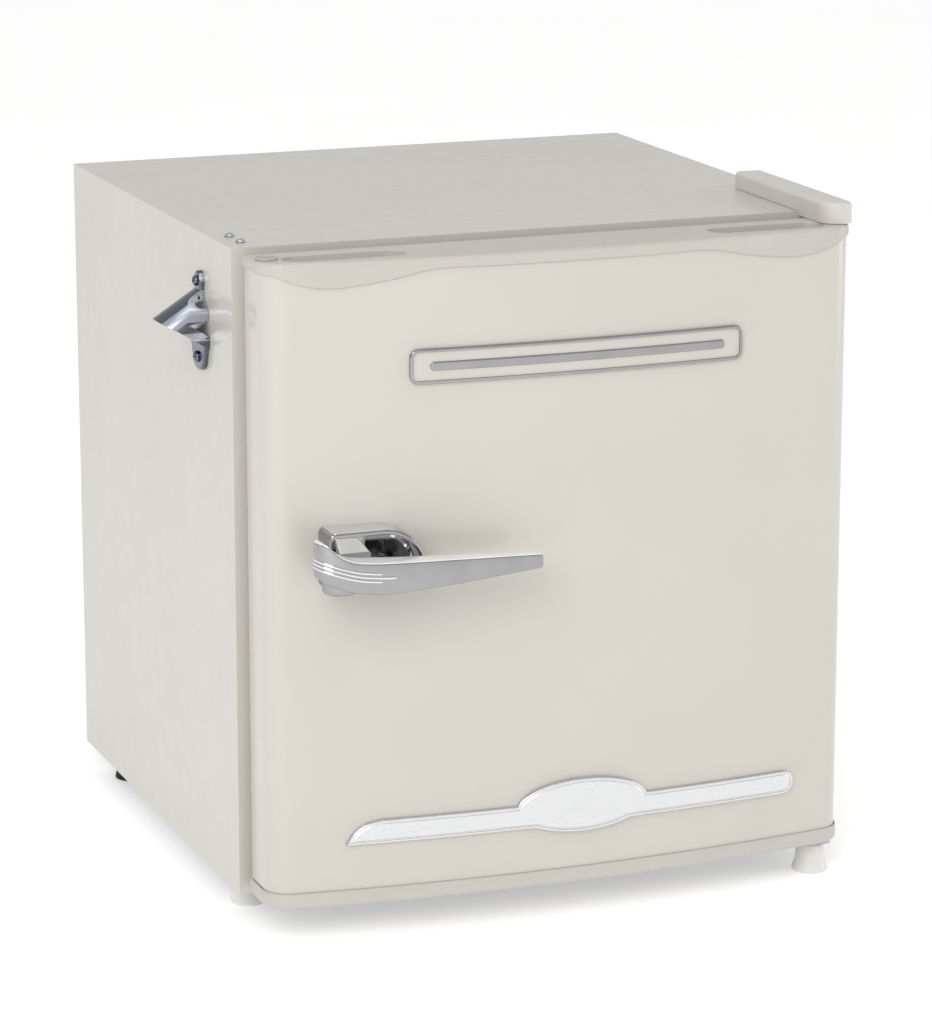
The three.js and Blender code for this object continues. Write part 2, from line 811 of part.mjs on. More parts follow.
function doorTopCap() {
  const { top } = DOOR;
  const skirt = cut(
    doorPrism(0, [450, top]),
    doorPrism(CAP_SKIRT, [449, top - CAP], DOOR.back + 5),
    prismY(capWave(), [-100, 0], 5),
  );
  const cups = [];
  const hollows = [];
  for (const side of [-1, 1]) {
    const x = span(side, ...SLOT.x);
    const { y, depth, wall } = SLOT;
    const around = [x[0] - wall, x[1] + wall];
    const cup = roundedRect(around, [y[0] - wall, y[1] + wall], 13);
    cups.push(prismZ(cup, [top - depth - wall, top - 1], 4));
    hollows.push(prismZ(roundedRect(x, y, 11.5), [top - depth, top + 1], 4));
  }
  const holes = [-1, 1].map((side) =>
    rod([side * HINGE.x, HINGE.y, top - 6], [side * HINGE.x, HINGE.y, top + 2], bushOuter + GAP, 16),
  );
  return cut(join(skirt, ...cups), ...hollows, ...holes);
}

function doorBottomCap() {
  const { bottom, back } = DOOR;
  const body = doorPrism(0, [bottom, bottom + 11]);
  const hollow = doorPrism(CAP_SKIRT, [bottom + CAP, bottom + 12], back + 5);
  const hole = rod([HINGE.x, HINGE.y, bottom - 2], [HINGE.x, HINGE.y, bottom + 6], bushOuter + GAP, 16);
  return cut(body, hollow, hole);
}

const foamInset = SKIN_INSET + SKIN + GAP;

function doorFoam() {
  const slab = doorPrism(foamInset, [DOOR.bottom + CAP + GAP, 456], DOOR.back - LINER - GAP);
  const bush = rod([HINGE.x, HINGE.y, 20], [HINGE.x, HINGE.y, 44], bushOuter + 1.5, 12);
  const corner = block([HINGE.x, 230], [HINGE.y - 30, 0], [20, 44]);
  return cut(slab, bush, corner);
}

// Top-hat bush for a hinge pin, its flange outside the cap: above the door or below it.
function hingeBush(inner, seat) {
  const bore = HINGE.pin + 0.25;
  const rim = seat + Math.sign(seat - inner) * 1.2;
  const profile = [
    [bore, inner],
    [bushOuter, inner],
    [bushOuter, seat],
    [bushFlange, seat],
    [bushFlange, rim],
    [bore, rim],
    [bore, inner],
  ];
  if (rim < inner) profile.reverse();
  return turned(profile, [HINGE.x, HINGE.y, 0], 16);
}

function capPlug() {
  const z = DOOR.top + GAP;
  return turned(
    [
      [0, -5],
      [5.8, -5],
      [5.8, 0],
      [8, 0],
      [7.4, 1],
      [0, 1.4],
    ],
    [-HINGE.x, HINGE.y, z],
    16,
  );
}

function doorInnerLiner() {
  const { back } = DOOR;
  const { halfWidth, bottom, top, depth, width } = DYKE;
  const half = DOOR.halfWidth - SKIN_INSET - SKIN - GAP;
  const plate = block([-half, half], [back - LINER, back], [DOOR.bottom + CAP + GAP, 472]);
  const ring = cut(
    block([-halfWidth, halfWidth], [back - 1, depth], [bottom, top]),
    block([-halfWidth + width, halfWidth - width], [back - 2, depth + 1], [
      bottom + width,
      top - width,
    ]),
  );
  const channel = cut(
    block([-halfWidth + LINER, halfWidth - LINER], [back - 5, depth - LINER], [
      bottom + LINER,
      top - LINER,
    ]),
    block([-halfWidth + width - LINER, halfWidth - width + LINER], [back - 6, depth], [
      bottom + width - LINER,
      top - width + LINER,
    ]),
  );
  const rests = [-1, 1].map((side) =>
    block(span(side, halfWidth - width - 8, halfWidth - width + 1), [back - 1, depth - 4], [
      BIN.upper.z[0] - 6,
      BIN.upper.z[0] - GAP,
    ]),
  );
  return join(cut(join(plate, ring), channel), ...rests);
}

function doorBin({ z, reach }) {
  const { halfWidth, wall } = BIN;
  const back = DOOR.back + GAP;
  const outer = roundedRect([-halfWidth, halfWidth], [back, reach], [0, 0, 14, 14]);
  const inner = roundedRect([-halfWidth + wall, halfWidth - wall], [back + wall, reach - wall], [
    0,
    0,
    12,
    12,
  ]);
  return cut(prismZ(outer, z, 2), prismZ(inner, [z[0] + wall, z[1] + 1], 2));
}

function doorGasket() {
  const y = [DOOR.back + GAP, -GAP];
  const half = HINGE.x - 1;
  const outer = prismY(roundedRect([-half, half], [cavityZ[0] - 18, cavityZ[1] + 18], 8), y, 2);
  const inner = prismY(
    roundedRect([-half + 14, half - 14], [cavityZ[0] - 4, cavityZ[1] + 4], 4),
    [y[0] - 1, y[1] + 1],
    2,
  );
  const throat = prismY(
    roundedRect([-half + 3, half - 3], [cavityZ[0] - 15, cavityZ[1] + 15], 6),
    [y[0] + 2, y[1] - 3],
    2,
  );
  return cut(outer, inner, throat);
}

// A plate on the bowed front: the (x, z) outline between two distances out from the sheet.
function frontPlate(shape, from, to, curveSegments) {
  const z = [DOOR.bottom, DOOR.top];
  const layer = cut(
    doorPrism(SKIN_INSET - to, z, 20),
    doorPrism(SKIN_INSET - from, [z[0] - 1, z[1] + 1], 30),
  );
  return prismY(shape, [DOOR.front - 20, DOOR.front + 30], curveSegments).intersect(layer);
}

function badgePlate() {
  const { x, z, corner, rim: edge } = BADGE;
  const plate = frontPlate(roundedRect(x, z, corner), GAP, 2.6);
  const insideX = [x[0] + edge, x[1] - edge];
  const insideZ = [z[0] + edge, z[1] - edge];
  return cut(plate, frontPlate(roundedRect(insideX, insideZ, corner - 2), 1.6, 4));
}

// The bar runs from a pointed left tip to a round right end.
function trimBar() {
  const [low, high] = TRIM.z;
  const radius = (high - low) / 2;
  const shape = new THREE.Shape();
  shape.moveTo(TRIM.tip, low);
  shape.lineTo(TRIM.roundEnd, low);
  shape.absarc(TRIM.roundEnd, low + radius, radius, -Math.PI / 2, Math.PI / 2);
  shape.lineTo(TRIM.tip + 26, high);
  shape.bezierCurveTo(TRIM.tip + 12, high - 0.5, TRIM.tip + 3, high - 6, TRIM.tip, low);
  return shape;
}

function bottomTrim() {
  const oval = new THREE.Shape();
  oval.absellipse(7, 84, 49, 19, 0, 2 * Math.PI);
  return join(frontPlate(trimBar(), GAP, 3), frontPlate(oval, GAP, 5, 12));
}

// ---- handle ----
function clearOfDoor(solid) {
  return cut(solid, doorPrism(SKIN_INSET - GAP, [200, 340], 30));
}

// A plate with a finger dish, and a neck that carries the lever in front of it.
function handleBase() {
  const { x, z, front } = HANDLE_BASE;
  const edge = 3.8;
  const body = prismY(roundedRect(x, z, [5, 12, 30, 5]), [front, -40], 5);
  const dishX = [x[0] + 25, x[1] - edge];
  const dishZ = [z[0] + edge, z[1] - edge];
  const dish = prismY(roundedRect(dishX, dishZ, [4, 8, 26, 4]), [front - 4, front + 12], 5);
  const neckSide = polygon([
    [front + 3, 262],
    [front + 3, 293],
    [front, 293],
    [-93, 285],
    [-93, 262],
  ]);
  const neck = prismX(neckSide, [-180, -157]);
  const { x: pivotX, y: pivotY, radius, bottom } = PIVOT;
  const seat = rod([pivotX, pivotY, bottom - 5], [pivotX, pivotY, bottom + 10], radius + GAP, 20);
  return clearOfDoor(cut(join(body, neck), dish, seat, leverSolid(GAP)));
}

// The lever from the front: (x, z), tapering to the right, its nose swept up on the left.
function leverFace(grow) {
  const { nose, tip } = LEVER;
  const shape = new THREE.Shape();
  shape.moveTo(nose, 275 - grow);
  shape.bezierCurveTo(nose + 8, 268 - grow, nose + 24, 262 - grow, nose + 41, 259.9 - grow);
  shape.bezierCurveTo(nose + 48, 259 - grow, nose + 60, 259.9 - grow, nose + 104, 262 - grow);
  shape.lineTo(tip - 3.5, 266.3 - grow);
  shape.lineTo(tip + grow, 269.5);
  shape.lineTo(tip + grow, 273.5);
  shape.lineTo(tip - 3, 276.5 + grow);
  shape.lineTo(nose + 51, 281.3 + grow);
  shape.bezierCurveTo(nose + 32, 282 + grow, nose + 20, 284 + grow, nose + 13, 291 + grow);
  shape.bezierCurveTo(nose + 10, 294.5 + grow, nose + 8, 296.4 + grow, nose, 296.4 + grow);
  return shape;
}

// The lever from above: (x, y), a bar that wraps round the pivot at its left end.
function leverPlan(grow) {
  const { nose, tip, face } = LEVER;
  const shape = new THREE.Shape();
  shape.moveTo(tip - 2.5, -95 + grow);
  shape.lineTo(-150, -91 + grow);
  shape.lineTo(-166, -84 + grow);
  shape.lineTo(-184, -81 + grow);
  shape.bezierCurveTo(nose + 3 - grow, -82, nose - 1 - grow, -94, nose + 6 - grow, -101 - grow);
  shape.bezierCurveTo(nose + 12, -107 - grow, nose + 27, face - grow, nose + 49, face - grow);
  shape.lineTo(tip - 2.5, -103.5 - grow);
  shape.lineTo(tip + grow, -101);
  shape.lineTo(tip + grow, -97);
  return shape;
}

function leverSolid(grow) {
  const plan = prismZ(leverPlan(grow), [240, 310], 4);
  return plan.intersect(prismY(leverFace(grow), [-130, -60], 4));
}

// Three raised ribs run round the lever's nose, the middle one furthest to the right.
function handleLever() {
  const raised = leverSolid(1);
  const ribs = [-2.7, 0, 2.7].map((lift) => {
    const right = lift === 0 ? -146 : -156;
    const band = new THREE.Shape();
    band.moveTo(LEVER.nose - 2, 281 + lift);
    band.bezierCurveTo(-186, 277.5 + lift, -172, 272.5 + lift, right, 270.5 + lift);
    band.lineTo(right, 272.3 + lift);
    band.bezierCurveTo(-172, 274.3 + lift, -186, 279.3 + lift, LEVER.nose - 2, 282.8 + lift);
    return raised.intersect(prismY(band, [LEVER.face - 3, -90], 4));
  });
  return join(leverSolid(0), ...ribs);
}

// The pivot's barrel shows below the lever's nose.
function handleBarrel() {
  const { x, y, radius, bottom } = PIVOT;
  const barrel = turned(
    [
      [0, bottom],
      [radius - 2, bottom],
      [radius, bottom + 2],
      [radius, bottom + 10],
      [0, bottom + 10],
    ],
    [x, y, 0],
    20,
  );
  return cut(barrel, prismY(leverFace(GAP), [-130, -60], 4));
}

// ---- bottle opener ----
const openerWall = -CABINET.halfWidth - GAP;

// Drawn from the side: (distance out from the wall, z), between two y.
function openerPrism(points, y) {
  return prismY(polygon(points.map(([out, z]) => [openerWall - out, z])), y);
}

// A rounded arch whose top runs straight along the ridge from one (out, z) to another.
function openerArch(halfWidth, drop, below) {
  const ridge = { start: [-8, 447.8], end: [40, 417.2] };
  const rise = 11;
  const arch = new THREE.Shape();
  arch.absellipse(0, -rise, halfWidth, rise - drop, 0, Math.PI);
  arch.lineTo(-halfWidth, -below);
  arch.lineTo(halfWidth, -below);
  const run = ridge.end[0] - ridge.start[0];
  const fall = ridge.start[1] - ridge.end[1];
  const length = Math.hypot(run, fall);
  const along = new THREE.Vector3(-run / length, 0, -fall / length);
  const across = new THREE.Vector3(0, -1, 0);
  const upward = along.clone().cross(across);
  const place = new THREE.Matrix4().makeBasis(across, upward, along);
  place.setPosition(openerWall - ridge.start[0], OPENER.y, ridge.start[1]);
  return toSolid(extrude(arch, length, 10).applyMatrix4(place));
}

function openerHood() {
  const { y, hood, wall } = OPENER;
  const shell = cut(openerArch(hood, 0, 26), openerArch(hood - wall, wall, 30));
  const side = openerPrism(
    [
      [0, 446],
      [0, 421],
      [23.7, 414.6],
      [34.2, 420.6],
      [40, 446],
    ],
    [y - 20, y + 20],
  );
  const front = new THREE.Shape();
  front.moveTo(y - hood, 400);
  front.lineTo(y + hood, 400);
  front.lineTo(y + hood, 424);
  front.bezierCurveTo(y + hood, 431, y + 7.5, 431, y + 6, 438);
  front.lineTo(y + 6, 450);
  front.lineTo(y - 6, 450);
  front.lineTo(y - 6, 438);
  front.bezierCurveTo(y - 7.5, 431, y - hood, 431, y - hood, 424);
  return shell.intersect(side).intersect(prismX(front, [openerWall - 45, openerWall], 4));
}

function bottleOpener() {
  const { y, top, bottom, plate } = OPENER;
  const seat = [openerWall - plate, openerWall];
  const upperLobe = rod([seat[1], y, top], [seat[0], y, top], 6.8, 16);
  const neck = block(seat, [y - 6, y + 6], [434, top]);
  const tongue = new THREE.Shape();
  tongue.moveTo(y + 17, 409);
  tongue.lineTo(y - 17, 409);
  tongue.lineTo(y - 12.5, bottom);
  tongue.absellipse(y, bottom, 12.5, 9.5, Math.PI, 2 * Math.PI);
  const arm = openerPrism(
    [
      [0, 409],
      [0, 400],
      [4, 403],
      [13, 408.5],
      [22, 414],
      [20, 418],
      [12, 416.5],
    ],
    [y - 17, y + 17],
  );
  const armFront = polygon([
    [y - 17, 400],
    [y + 17, 400],
    [y + 17, 407],
    [y + 14.5, 412],
    [y + 14.5, 420],
    [y - 14.5, 420],
    [y - 14.5, 412],
    [y - 17, 407],
  ]);
  const lip = arm.intersect(prismX(armFront, [openerWall - 45, openerWall]));
  const bores = [top, bottom].map((z) =>
    rod([seat[1] + 2, y, z], [seat[0] - 5, y, z], SCREW_HOLE, 8),
  );
  return cut(join(upperLobe, neck, prismX(tongue, seat, 6), openerHood(), lip), ...bores);
}

// ---- assembly ----
add("cabinet_shell", cabinetShell(), cream);
add("back_panel", backPanel(), zinc);
add("base_pan", basePan(), zinc);
add("insulation_foam", insulationFoam(), foamYellow);
add("inner_liner", innerLiner(), white);
add("condenser_coil_left", condenserCoil(-1), black);
add("condenser_coil_right", condenserCoil(1), black);

add("compressor_plate", compressorPlate(), zinc);
add("compressor", compressor(), black);
grommetSpots.forEach((spot, i) => add(`compressor_grommet_${i + 1}`, grommet(spot), rubber));
add("relay_cover", relayCover(), grey);
add("filter_drier", filterDrier(), copper);
add("discharge_tube", dischargeTube(), copper);
add("suction_tube", suctionLine(128, FREEZER.y[1] + GAP, SUCTION_RISE.radius), copper);
add("cord_gland", cordGland(), rubber);

add("evaporator", evaporator(), aluminium);
add("freezer_frame", freezerFrame(), white);
add("freezer_flap", freezerFlap(), clear);
add("drip_tray", dripTray(), clear);
add("shelf_glass", shelfGlass(), glass);
add("shelf_front_trim", shelfTrim(SHELF.front, 1), white);
add("shelf_rear_trim", shelfTrim(SHELF.back, -1), white);
add("thermostat_housing", thermostatHousing(), white);
add("thermostat_knob", thermostatKnob(), grey);

add("front_left_foot", foot(LEFT_FOOT, CABINET.bottom - GAP, 46), cream);
add("front_right_foot", foot(RIGHT_FOOT, lowerPlate[0] - GAP, lowerPlate[0] + 1.3), cream);
add("rear_left_foot", rearFoot(rearFeet[0]), black);
add("rear_right_foot", rearFoot(rearFeet[1]), black);

add("upper_hinge_bracket", hingeBracket(upperPlate, 465, bracketX[0]), steel);
add("lower_hinge_bracket", lowerHingeBracket(), steel);
HINGE_SCREWS.forEach((y, i) => {
  const above = [SCREW_X, y, upperPlate[1] + GAP];
  const below = [SCREW_X, y, lowerPlate[0] - GAP];
  add(`upper_hinge_screw_${i + 1}`, screw(above, [0, 0, 1], 4.4), steel);
  add(`lower_hinge_screw_${i + 1}`, screw(below, [0, 0, -1], 4.7), steel);
  add(`top_plug_${i + 1}`, topPlug(y), zinc);
});
add("hinge_cover", hingeCover(), capCream);

add("bottle_opener", bottleOpener(), chrome);
const openerSeat = openerWall - OPENER.plate - GAP;
add("opener_screw_top", screw([openerSeat, OPENER.y, OPENER.top], [-1, 0, 0], 5.4, 3.6), steel);
add("opener_screw_bottom", screw([openerSeat, OPENER.y, OPENER.bottom], [-1, 0, 0], 5.4), steel);

add("door_skin", doorSkin(), cream);
add("door_top_cap", doorTopCap(), capCream);
add("door_bottom_cap", doorBottomCap(), capCream);
add("door_foam", doorFoam(), foamYellow);
add("door_inner_liner", doorInnerLiner(), white);
add("door_gasket", doorGasket(), grey);
add("lower_bin", doorBin(BIN.lower), clear);
add("upper_bin", doorBin(BIN.upper), clear);
add("upper_hinge_bush", hingeBush(463, DOOR.top + GAP), white);
add("lower_hinge_bush", hingeBush(40, DOOR.bottom - GAP), white);
add("cap_plug", capPlug(), grey);
add("handle_base", handleBase(), chrome);
add("handle_lever", handleLever(), chrome);
add("handle_barrel", handleBarrel(), chrome);
add("badge_plate", badgePlate(), chrome);
add("bottom_trim", bottomTrim(), chrome);

const bounds = new THREE.Box3().setFromObject(fridge);
const middle = bounds.getCenter(new THREE.Vector3());
fridge.position.set(-middle.x, -middle.y, -bounds.min.z);

export default fridge;
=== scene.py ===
"""Looks of a retro cube refrigerator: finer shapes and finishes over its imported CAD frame.

Shapes are worked out in millimetres, x to the right, y to the back and z up, from the middle of the
cabinet's front face on the floor. `piece` turns them into the frame's metres.
"""

import json
import math

import bmesh
import bpy
from mathutils import Matrix, Vector


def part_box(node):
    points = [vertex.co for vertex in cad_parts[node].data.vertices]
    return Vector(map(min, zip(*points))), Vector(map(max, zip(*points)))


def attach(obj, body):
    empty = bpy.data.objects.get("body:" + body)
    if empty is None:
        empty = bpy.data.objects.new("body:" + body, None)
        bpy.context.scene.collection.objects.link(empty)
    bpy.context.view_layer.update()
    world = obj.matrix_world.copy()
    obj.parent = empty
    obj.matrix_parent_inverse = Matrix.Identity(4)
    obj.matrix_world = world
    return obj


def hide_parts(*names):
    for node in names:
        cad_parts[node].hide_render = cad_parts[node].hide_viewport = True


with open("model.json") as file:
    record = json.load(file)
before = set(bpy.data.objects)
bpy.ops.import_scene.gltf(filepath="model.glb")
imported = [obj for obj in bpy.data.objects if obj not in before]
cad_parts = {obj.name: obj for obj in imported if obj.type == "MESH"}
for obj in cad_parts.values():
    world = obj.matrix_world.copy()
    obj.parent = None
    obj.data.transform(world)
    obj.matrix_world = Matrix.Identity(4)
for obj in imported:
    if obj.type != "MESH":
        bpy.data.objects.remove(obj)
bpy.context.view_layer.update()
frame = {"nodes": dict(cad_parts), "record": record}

MM = 0.001
shell_low, shell_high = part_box("cabinet_shell")
ORIGIN = Vector(((shell_low.x + shell_high.x) / 2, shell_low.y, 0))
SLOT_OF = {part["node"]: part["material_slot"] for part in frame["record"]["subparts"]}
BODIES = frame["record"]["behaviour"]["bodies"]
BODY_OF = {node: body for body, nodes in BODIES.items() for node in nodes}

# ---- driving dimensions, in millimetres ----
TOUCH = 0.3  # gap between pieces that touch
RIM_MARGIN = 0.4  # level band inside each rounded rim, which keeps flat faces shading flat
DOOR_BOW = 1400  # radius of the bowed front
DOOR_CORNER = 20
DOOR_INSET = 1.5  # door sheet behind the outer face of the caps
DOOR_SHEET = 1.2
CAP_EDGE = 3.0  # rounding of the top cap's upper edge
CAP_PLATE = 3.0
CAP_WALL = 1.2
HINGE_AXIS = (208, -31)
HINGE_HOLE = 6.5
CAP_SLOTS = {"x": (112, 198), "y": (-47, -23), "depth": 15}
BADGE_CORNER = 6
TRIM_BAR = (70.5, 87)  # low and high edge of the lower trim's bar
TRIM_OVAL_X = 7  # middle of the oval on that bar
LEVER_NOSE, LEVER_TIP = -197, -37.5
BASE_FRONT = -78
OPENER_PLATE = 3.5
OPENER_HOOD = 16  # half width
OPENER_WALL = 2.6
COMPRESSOR_RADIUS = 60


def box_mm(node):
    low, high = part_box(node)
    return (low - ORIGIN) / MM, (high - ORIGIN) / MM


def round_mm(node):
    """A round node's lowest corner, highest corner, middle and radius, its axis not along x."""
    low, high = box_mm(node)
    return low, high, (low + high) / 2, (high.x - low.x) / 2


# ---- camera ----
CAMERA_PLACE = Vector((-1030, -2550, 955))
CAMERA_YAW = 20.94  # degrees to the right of straight at the door
CAMERA_PITCH = 13.83  # degrees down
CAMERA_LENS = 142.4


def make_camera():
    data = bpy.data.cameras.new("camera")
    data.lens = CAMERA_LENS
    data.clip_start = 0.1
    data.clip_end = 100
    camera = bpy.data.objects.new("camera", data)
    bpy.context.scene.collection.objects.link(camera)
    camera.location = ORIGIN + CAMERA_PLACE * MM
    camera.rotation_euler = (math.radians(90 - CAMERA_PITCH), 0, math.radians(-CAMERA_YAW))
    bpy.context.scene.camera = camera


# ---- finishes ----
def linear(red, green, blue):
    """A colour given as 0 to 255 display values, as linear light."""
    return tuple(((v / 255 + 0.055) / 1.055) ** 2.4 for v in (red, green, blue)) + (1,)


def scaled(colour, factor):
    return tuple(min(1, c * factor) for c in colour[:3]) + (1,)


class Finish:
    """A principled material built node by node, in the object's own coordinates (metres)."""

    def __init__(self, name, **sockets):
        self.material = bpy.data.materials.new(name)
        self.material.use_nodes = True
        self.nodes = self.material.node_tree.nodes
        self.nodes.clear()
        self.shader = self.nodes.new("ShaderNodeBsdfPrincipled")
        output = self.nodes.new("ShaderNodeOutputMaterial")
        self.join(self.shader.outputs[0], output.inputs[0])
        self.place = self.nodes.new("ShaderNodeTexCoord").outputs["Object"]
        for socket, value in sockets.items():
            self.shader.inputs[socket.replace("_", " ")].default_value = value

    def join(self, source, target):
        self.material.node_tree.links.new(source, target)

    def noise(self, size, detail=2, stretch=(1, 1, 1)):
        """Noise whose patches are about `size` millimetres across, drawn out by `stretch`."""
        mapping = self.nodes.new("ShaderNodeMapping")
        self.join(self.place, mapping.inputs["Vector"])
        mapping.inputs["Scale"].default_value = [1 / s for s in stretch]
        texture = self.nodes.new("ShaderNodeTexNoise")
        self.join(mapping.outputs[0], texture.inputs["Vector"])
        texture.inputs["Scale"].default_value = 1 / (size * MM)
        texture.inputs["Detail"].default_value = detail
        return texture.outputs["Fac"]

    def cells(self, size, output="Color"):
        texture = self.nodes.new("ShaderNodeTexVoronoi")
        self.join(self.place, texture.inputs["Vector"])
        texture.inputs["Scale"].default_value = 1 / (size * MM)
        return texture.outputs[output]

    def spread(self, value, low, high, start=0.3, end=0.7):
        """`value` between start and end becomes low to high."""
        node = self.nodes.new("ShaderNodeMapRange")
        self.join(value, node.inputs["Value"])
        numbers = {"From Min": start, "From Max": end, "To Min": low, "To Max": high}
        for socket, number in numbers.items():
            node.inputs[socket].default_value = number
        return node.outputs["Result"]

    def colours(self, value, *stops):
        """The colour along a ramp: stops are (position, colour)."""
        node = self.nodes.new("ShaderNodeValToRGB")
        self.join(value, node.inputs["Fac"])
        elements = node.color_ramp.elements
        for i, (position, colour) in enumerate(stops):
            element = elements[i] if i < 2 else elements.new(position)
            element.position = position
            element.color = colour
        return node.outputs["Color"]

    def set(self, socket, source):
        self.join(source, self.shader.inputs[socket])
        return self

    def bump(self, height, depth):
        """Relief `depth` millimetres deep; a second call adds to the first."""
        node = self.nodes.new("ShaderNodeBump")
        node.inputs["Distance"].default_value = depth * MM
        self.join(height, node.inputs["Height"])
        earlier = self.shader.inputs["Normal"].links
        if earlier:
            self.join(earlier[0].from_socket, node.inputs["Normal"])
        self.join(node.outputs[0], self.shader.inputs["Normal"])
        return self


def paint(name, light, dark, roughness):
    """Sprayed enamel: faint orange peel, faint cloudiness."""
    f = Finish(name, Coat_Weight=0.5, Coat_Roughness=0.1, Specular_IOR_Level=0.5)
    f.set("Base Color", f.colours(f.noise(90, 3), (0.35, dark), (0.65, light)))
    f.set("Roughness", f.spread(f.noise(14, 4), roughness - 0.04, roughness + 0.05))
    return f.bump(f.noise(2.6, 1), 0.010).material


def moulded(name, light, dark, roughness, grain=0.7, depth=0.02):
    """Injection moulding with a fine spark-eroded grain."""
    f = Finish(name, Specular_IOR_Level=0.45)
    f.set("Base Color", f.colours(f.noise(35, 4), (0.3, dark), (0.7, light)))
    f.set("Roughness", f.spread(f.noise(5, 3), roughness - 0.05, roughness + 0.06))
    return f.bump(f.noise(grain, 2), depth).material


def chrome(name, tint, roughness, metallic=1.0):
    """Bright plating over a buffed casting, with slight waviness and faint wipe marks."""
    f = Finish(name, Metallic=metallic)
    f.set("Base Color", f.colours(f.noise(25, 3), (0.3, scaled(tint, 0.9)), (0.7, tint)))
    f.set("Roughness", f.spread(f.noise(9, 5, (4, 1, 1)), roughness, roughness + 0.08))
    return f.bump(f.noise(22, 1), 0.04).material


def brushed(name, light, dark, roughness, along=(60, 1, 1)):
    """Metal brushed along one direction."""
    f = Finish(name, Metallic=1.0)
    streaks = f.noise(0.35, 3, along)
    f.set("Base Color", f.colours(streaks, (0.3, dark), (0.7, light)))
    f.set("Roughness", f.spread(streaks, roughness - 0.06, roughness + 0.1))
    return f.bump(streaks, 0.008).material


def galvanised(name):
    """Zinc-coated sheet with its spangle."""
    f = Finish(name, Metallic=0.85)
    light, dark = linear(186, 188, 188), linear(170, 173, 174)
    f.set("Base Color", f.colours(f.cells(2.5), (0.1, dark), (0.9, light)))
    f.set("Roughness", f.spread(f.noise(6, 3), 0.36, 0.52))
    return f.bump(f.cells(2.5, "Distance"), 0.004).material


def clear(name, tint, roughness, ior, haze=0.0):
    """Clear plastic or glass: a little haze and fine scratches."""
    f = Finish(name, Transmission_Weight=1.0 - haze, IOR=ior)
    f.set("Base Color", f.colours(f.noise(60, 2), (0.3, tint), (0.7, scaled(tint, 1.03))))
    f.set("Roughness", f.spread(f.noise(12, 5), roughness, roughness + 0.06))
    return f.bump(f.noise(45, 1), 0.02).material


def foam(name):
    """Poured polyurethane: an open-pored skin, browned in places."""
    f = Finish(name, Specular_IOR_Level=0.2)
    light, dark = linear(232, 216, 166), linear(201, 178, 118)
    f.set("Base Color", f.colours(f.noise(18, 5), (0.3, dark), (0.7, light)))
    f.set("Roughness", f.spread(f.noise(4, 3), 0.85, 0.98))
    f.bump(f.cells(1.6, "Distance"), 0.25)
    return f.bump(f.noise(14, 3), 0.5).material


def black_enamel(name):
    """Dipped black paint on steel, slightly lumpy and dusty."""
    f = Finish(name, Coat_Weight=0.4, Coat_Roughness=0.25)
    light, dark = linear(46, 45, 44), linear(22, 22, 24)
    f.set("Base Color", f.colours(f.noise(16, 5), (0.35, dark), (0.8, light)))
    f.set("Roughness", f.spread(f.noise(7, 4), 0.32, 0.6))
    return f.bump(f.noise(3.5, 2), 0.04).material


def rubbery(name, light, dark, roughness):
    f = Finish(name, Specular_IOR_Level=0.35)
    f.set("Base Color", f.colours(f.noise(12, 4), (0.3, dark), (0.7, light)))
    f.set("Roughness", f.spread(f.noise(3, 3), roughness - 0.08, roughness + 0.08))
    return f.bump(f.noise(0.9, 2), 0.03).material


def drawn_copper(name):
    f = Finish(name, Metallic=1.0)
    tarnish = f.noise(13, 5)
    light, dark = linear(205, 132, 98), linear(120, 70, 48)
    f.set("Base Color", f.colours(tarnish, (0.3, dark), (0.62, light)))
    f.set("Roughness", f.spread(tarnish, 0.5, 0.26))
    return f.bump(f.noise(2, 3), 0.01).material


def roll_bond(name):
    """Evaporator sheet: anodised aluminium, duller than bare metal."""
    f = Finish(name, Metallic=0.45)
    streaks = f.noise(0.8, 3, (1, 40, 1))
    light, dark = linear(214, 217, 219), linear(188, 192, 195)
    f.set("Base Color", f.colours(streaks, (0.3, dark), (0.7, light)))
    f.set("Roughness", f.spread(f.noise(8, 4), 0.38, 0.55))
    return f.bump(streaks, 0.012).material


FINISHES = {
    "cabinet_paint": paint("cabinet_paint", linear(191, 188, 180), linear(189, 186, 178), 0.42),
    "door_paint": paint("door_paint", linear(191, 188, 180), linear(189, 186, 178), 0.34),
    "cap_plastic": moulded("cap_plastic", linear(184, 181, 174), linear(181, 178, 171), 0.4),
    "chrome": chrome("chrome", linear(160, 160, 161), 0.05),
    "zinc_sheet": galvanised("zinc_sheet"),
    "steel": brushed("steel", linear(186, 188, 190), linear(150, 153, 156), 0.34, (8, 1, 8)),
    "liner_plastic": moulded("liner_plastic", linear(226, 226, 222), linear(221, 221, 217), 0.36, 1.4, 0.015),
    "clear_plastic": clear("clear_plastic", linear(248, 249, 249), 0.04, 1.3, 0.12),
    "shelf_glass": clear("shelf_glass", linear(243, 249, 246), 0.01, 1.45),
    "foam": foam("foam"),
    "black_paint": black_enamel("black_paint"),
    "black_rubber": rubbery("black_rubber", linear(44, 44, 45), linear(28, 28, 29), 0.7),
    "gasket_vinyl": rubbery("gasket_vinyl", linear(186, 184, 178), linear(176, 174, 168), 0.55),
    "grey_plastic": moulded("grey_plastic", linear(168, 167, 164), linear(158, 157, 154), 0.4),
    "copper": drawn_copper("copper"),
    "evaporator_sheet": roll_bond("evaporator_sheet"),
}
SATIN_TRIM = brushed("satin_trim", linear(222, 222, 223), linear(206, 207, 208), 0.3)
# Painted highlight: a lighter chrome for the bottle opener's faces turned to the lights.
PAINTED_HIGHLIGHT_SOFT = chrome("painted_highlight_soft", linear(176, 180, 190), 0.3)
COVER_PLASTIC = moulded("cover_plastic", linear(197, 194, 187), linear(194, 191, 184), 0.36)
FOOT_PLASTIC = moulded("foot_plastic", linear(224, 222, 219), linear(218, 216, 212), 0.2, 0.9, 0.01)
# Painted highlights on the handle: a lighter chrome, and a near-white, partly metallic one for the lever's
# top.
PAINTED_HIGHLIGHT_CHROME = chrome("painted_highlight_chrome", linear(240, 241, 243), 0.04)
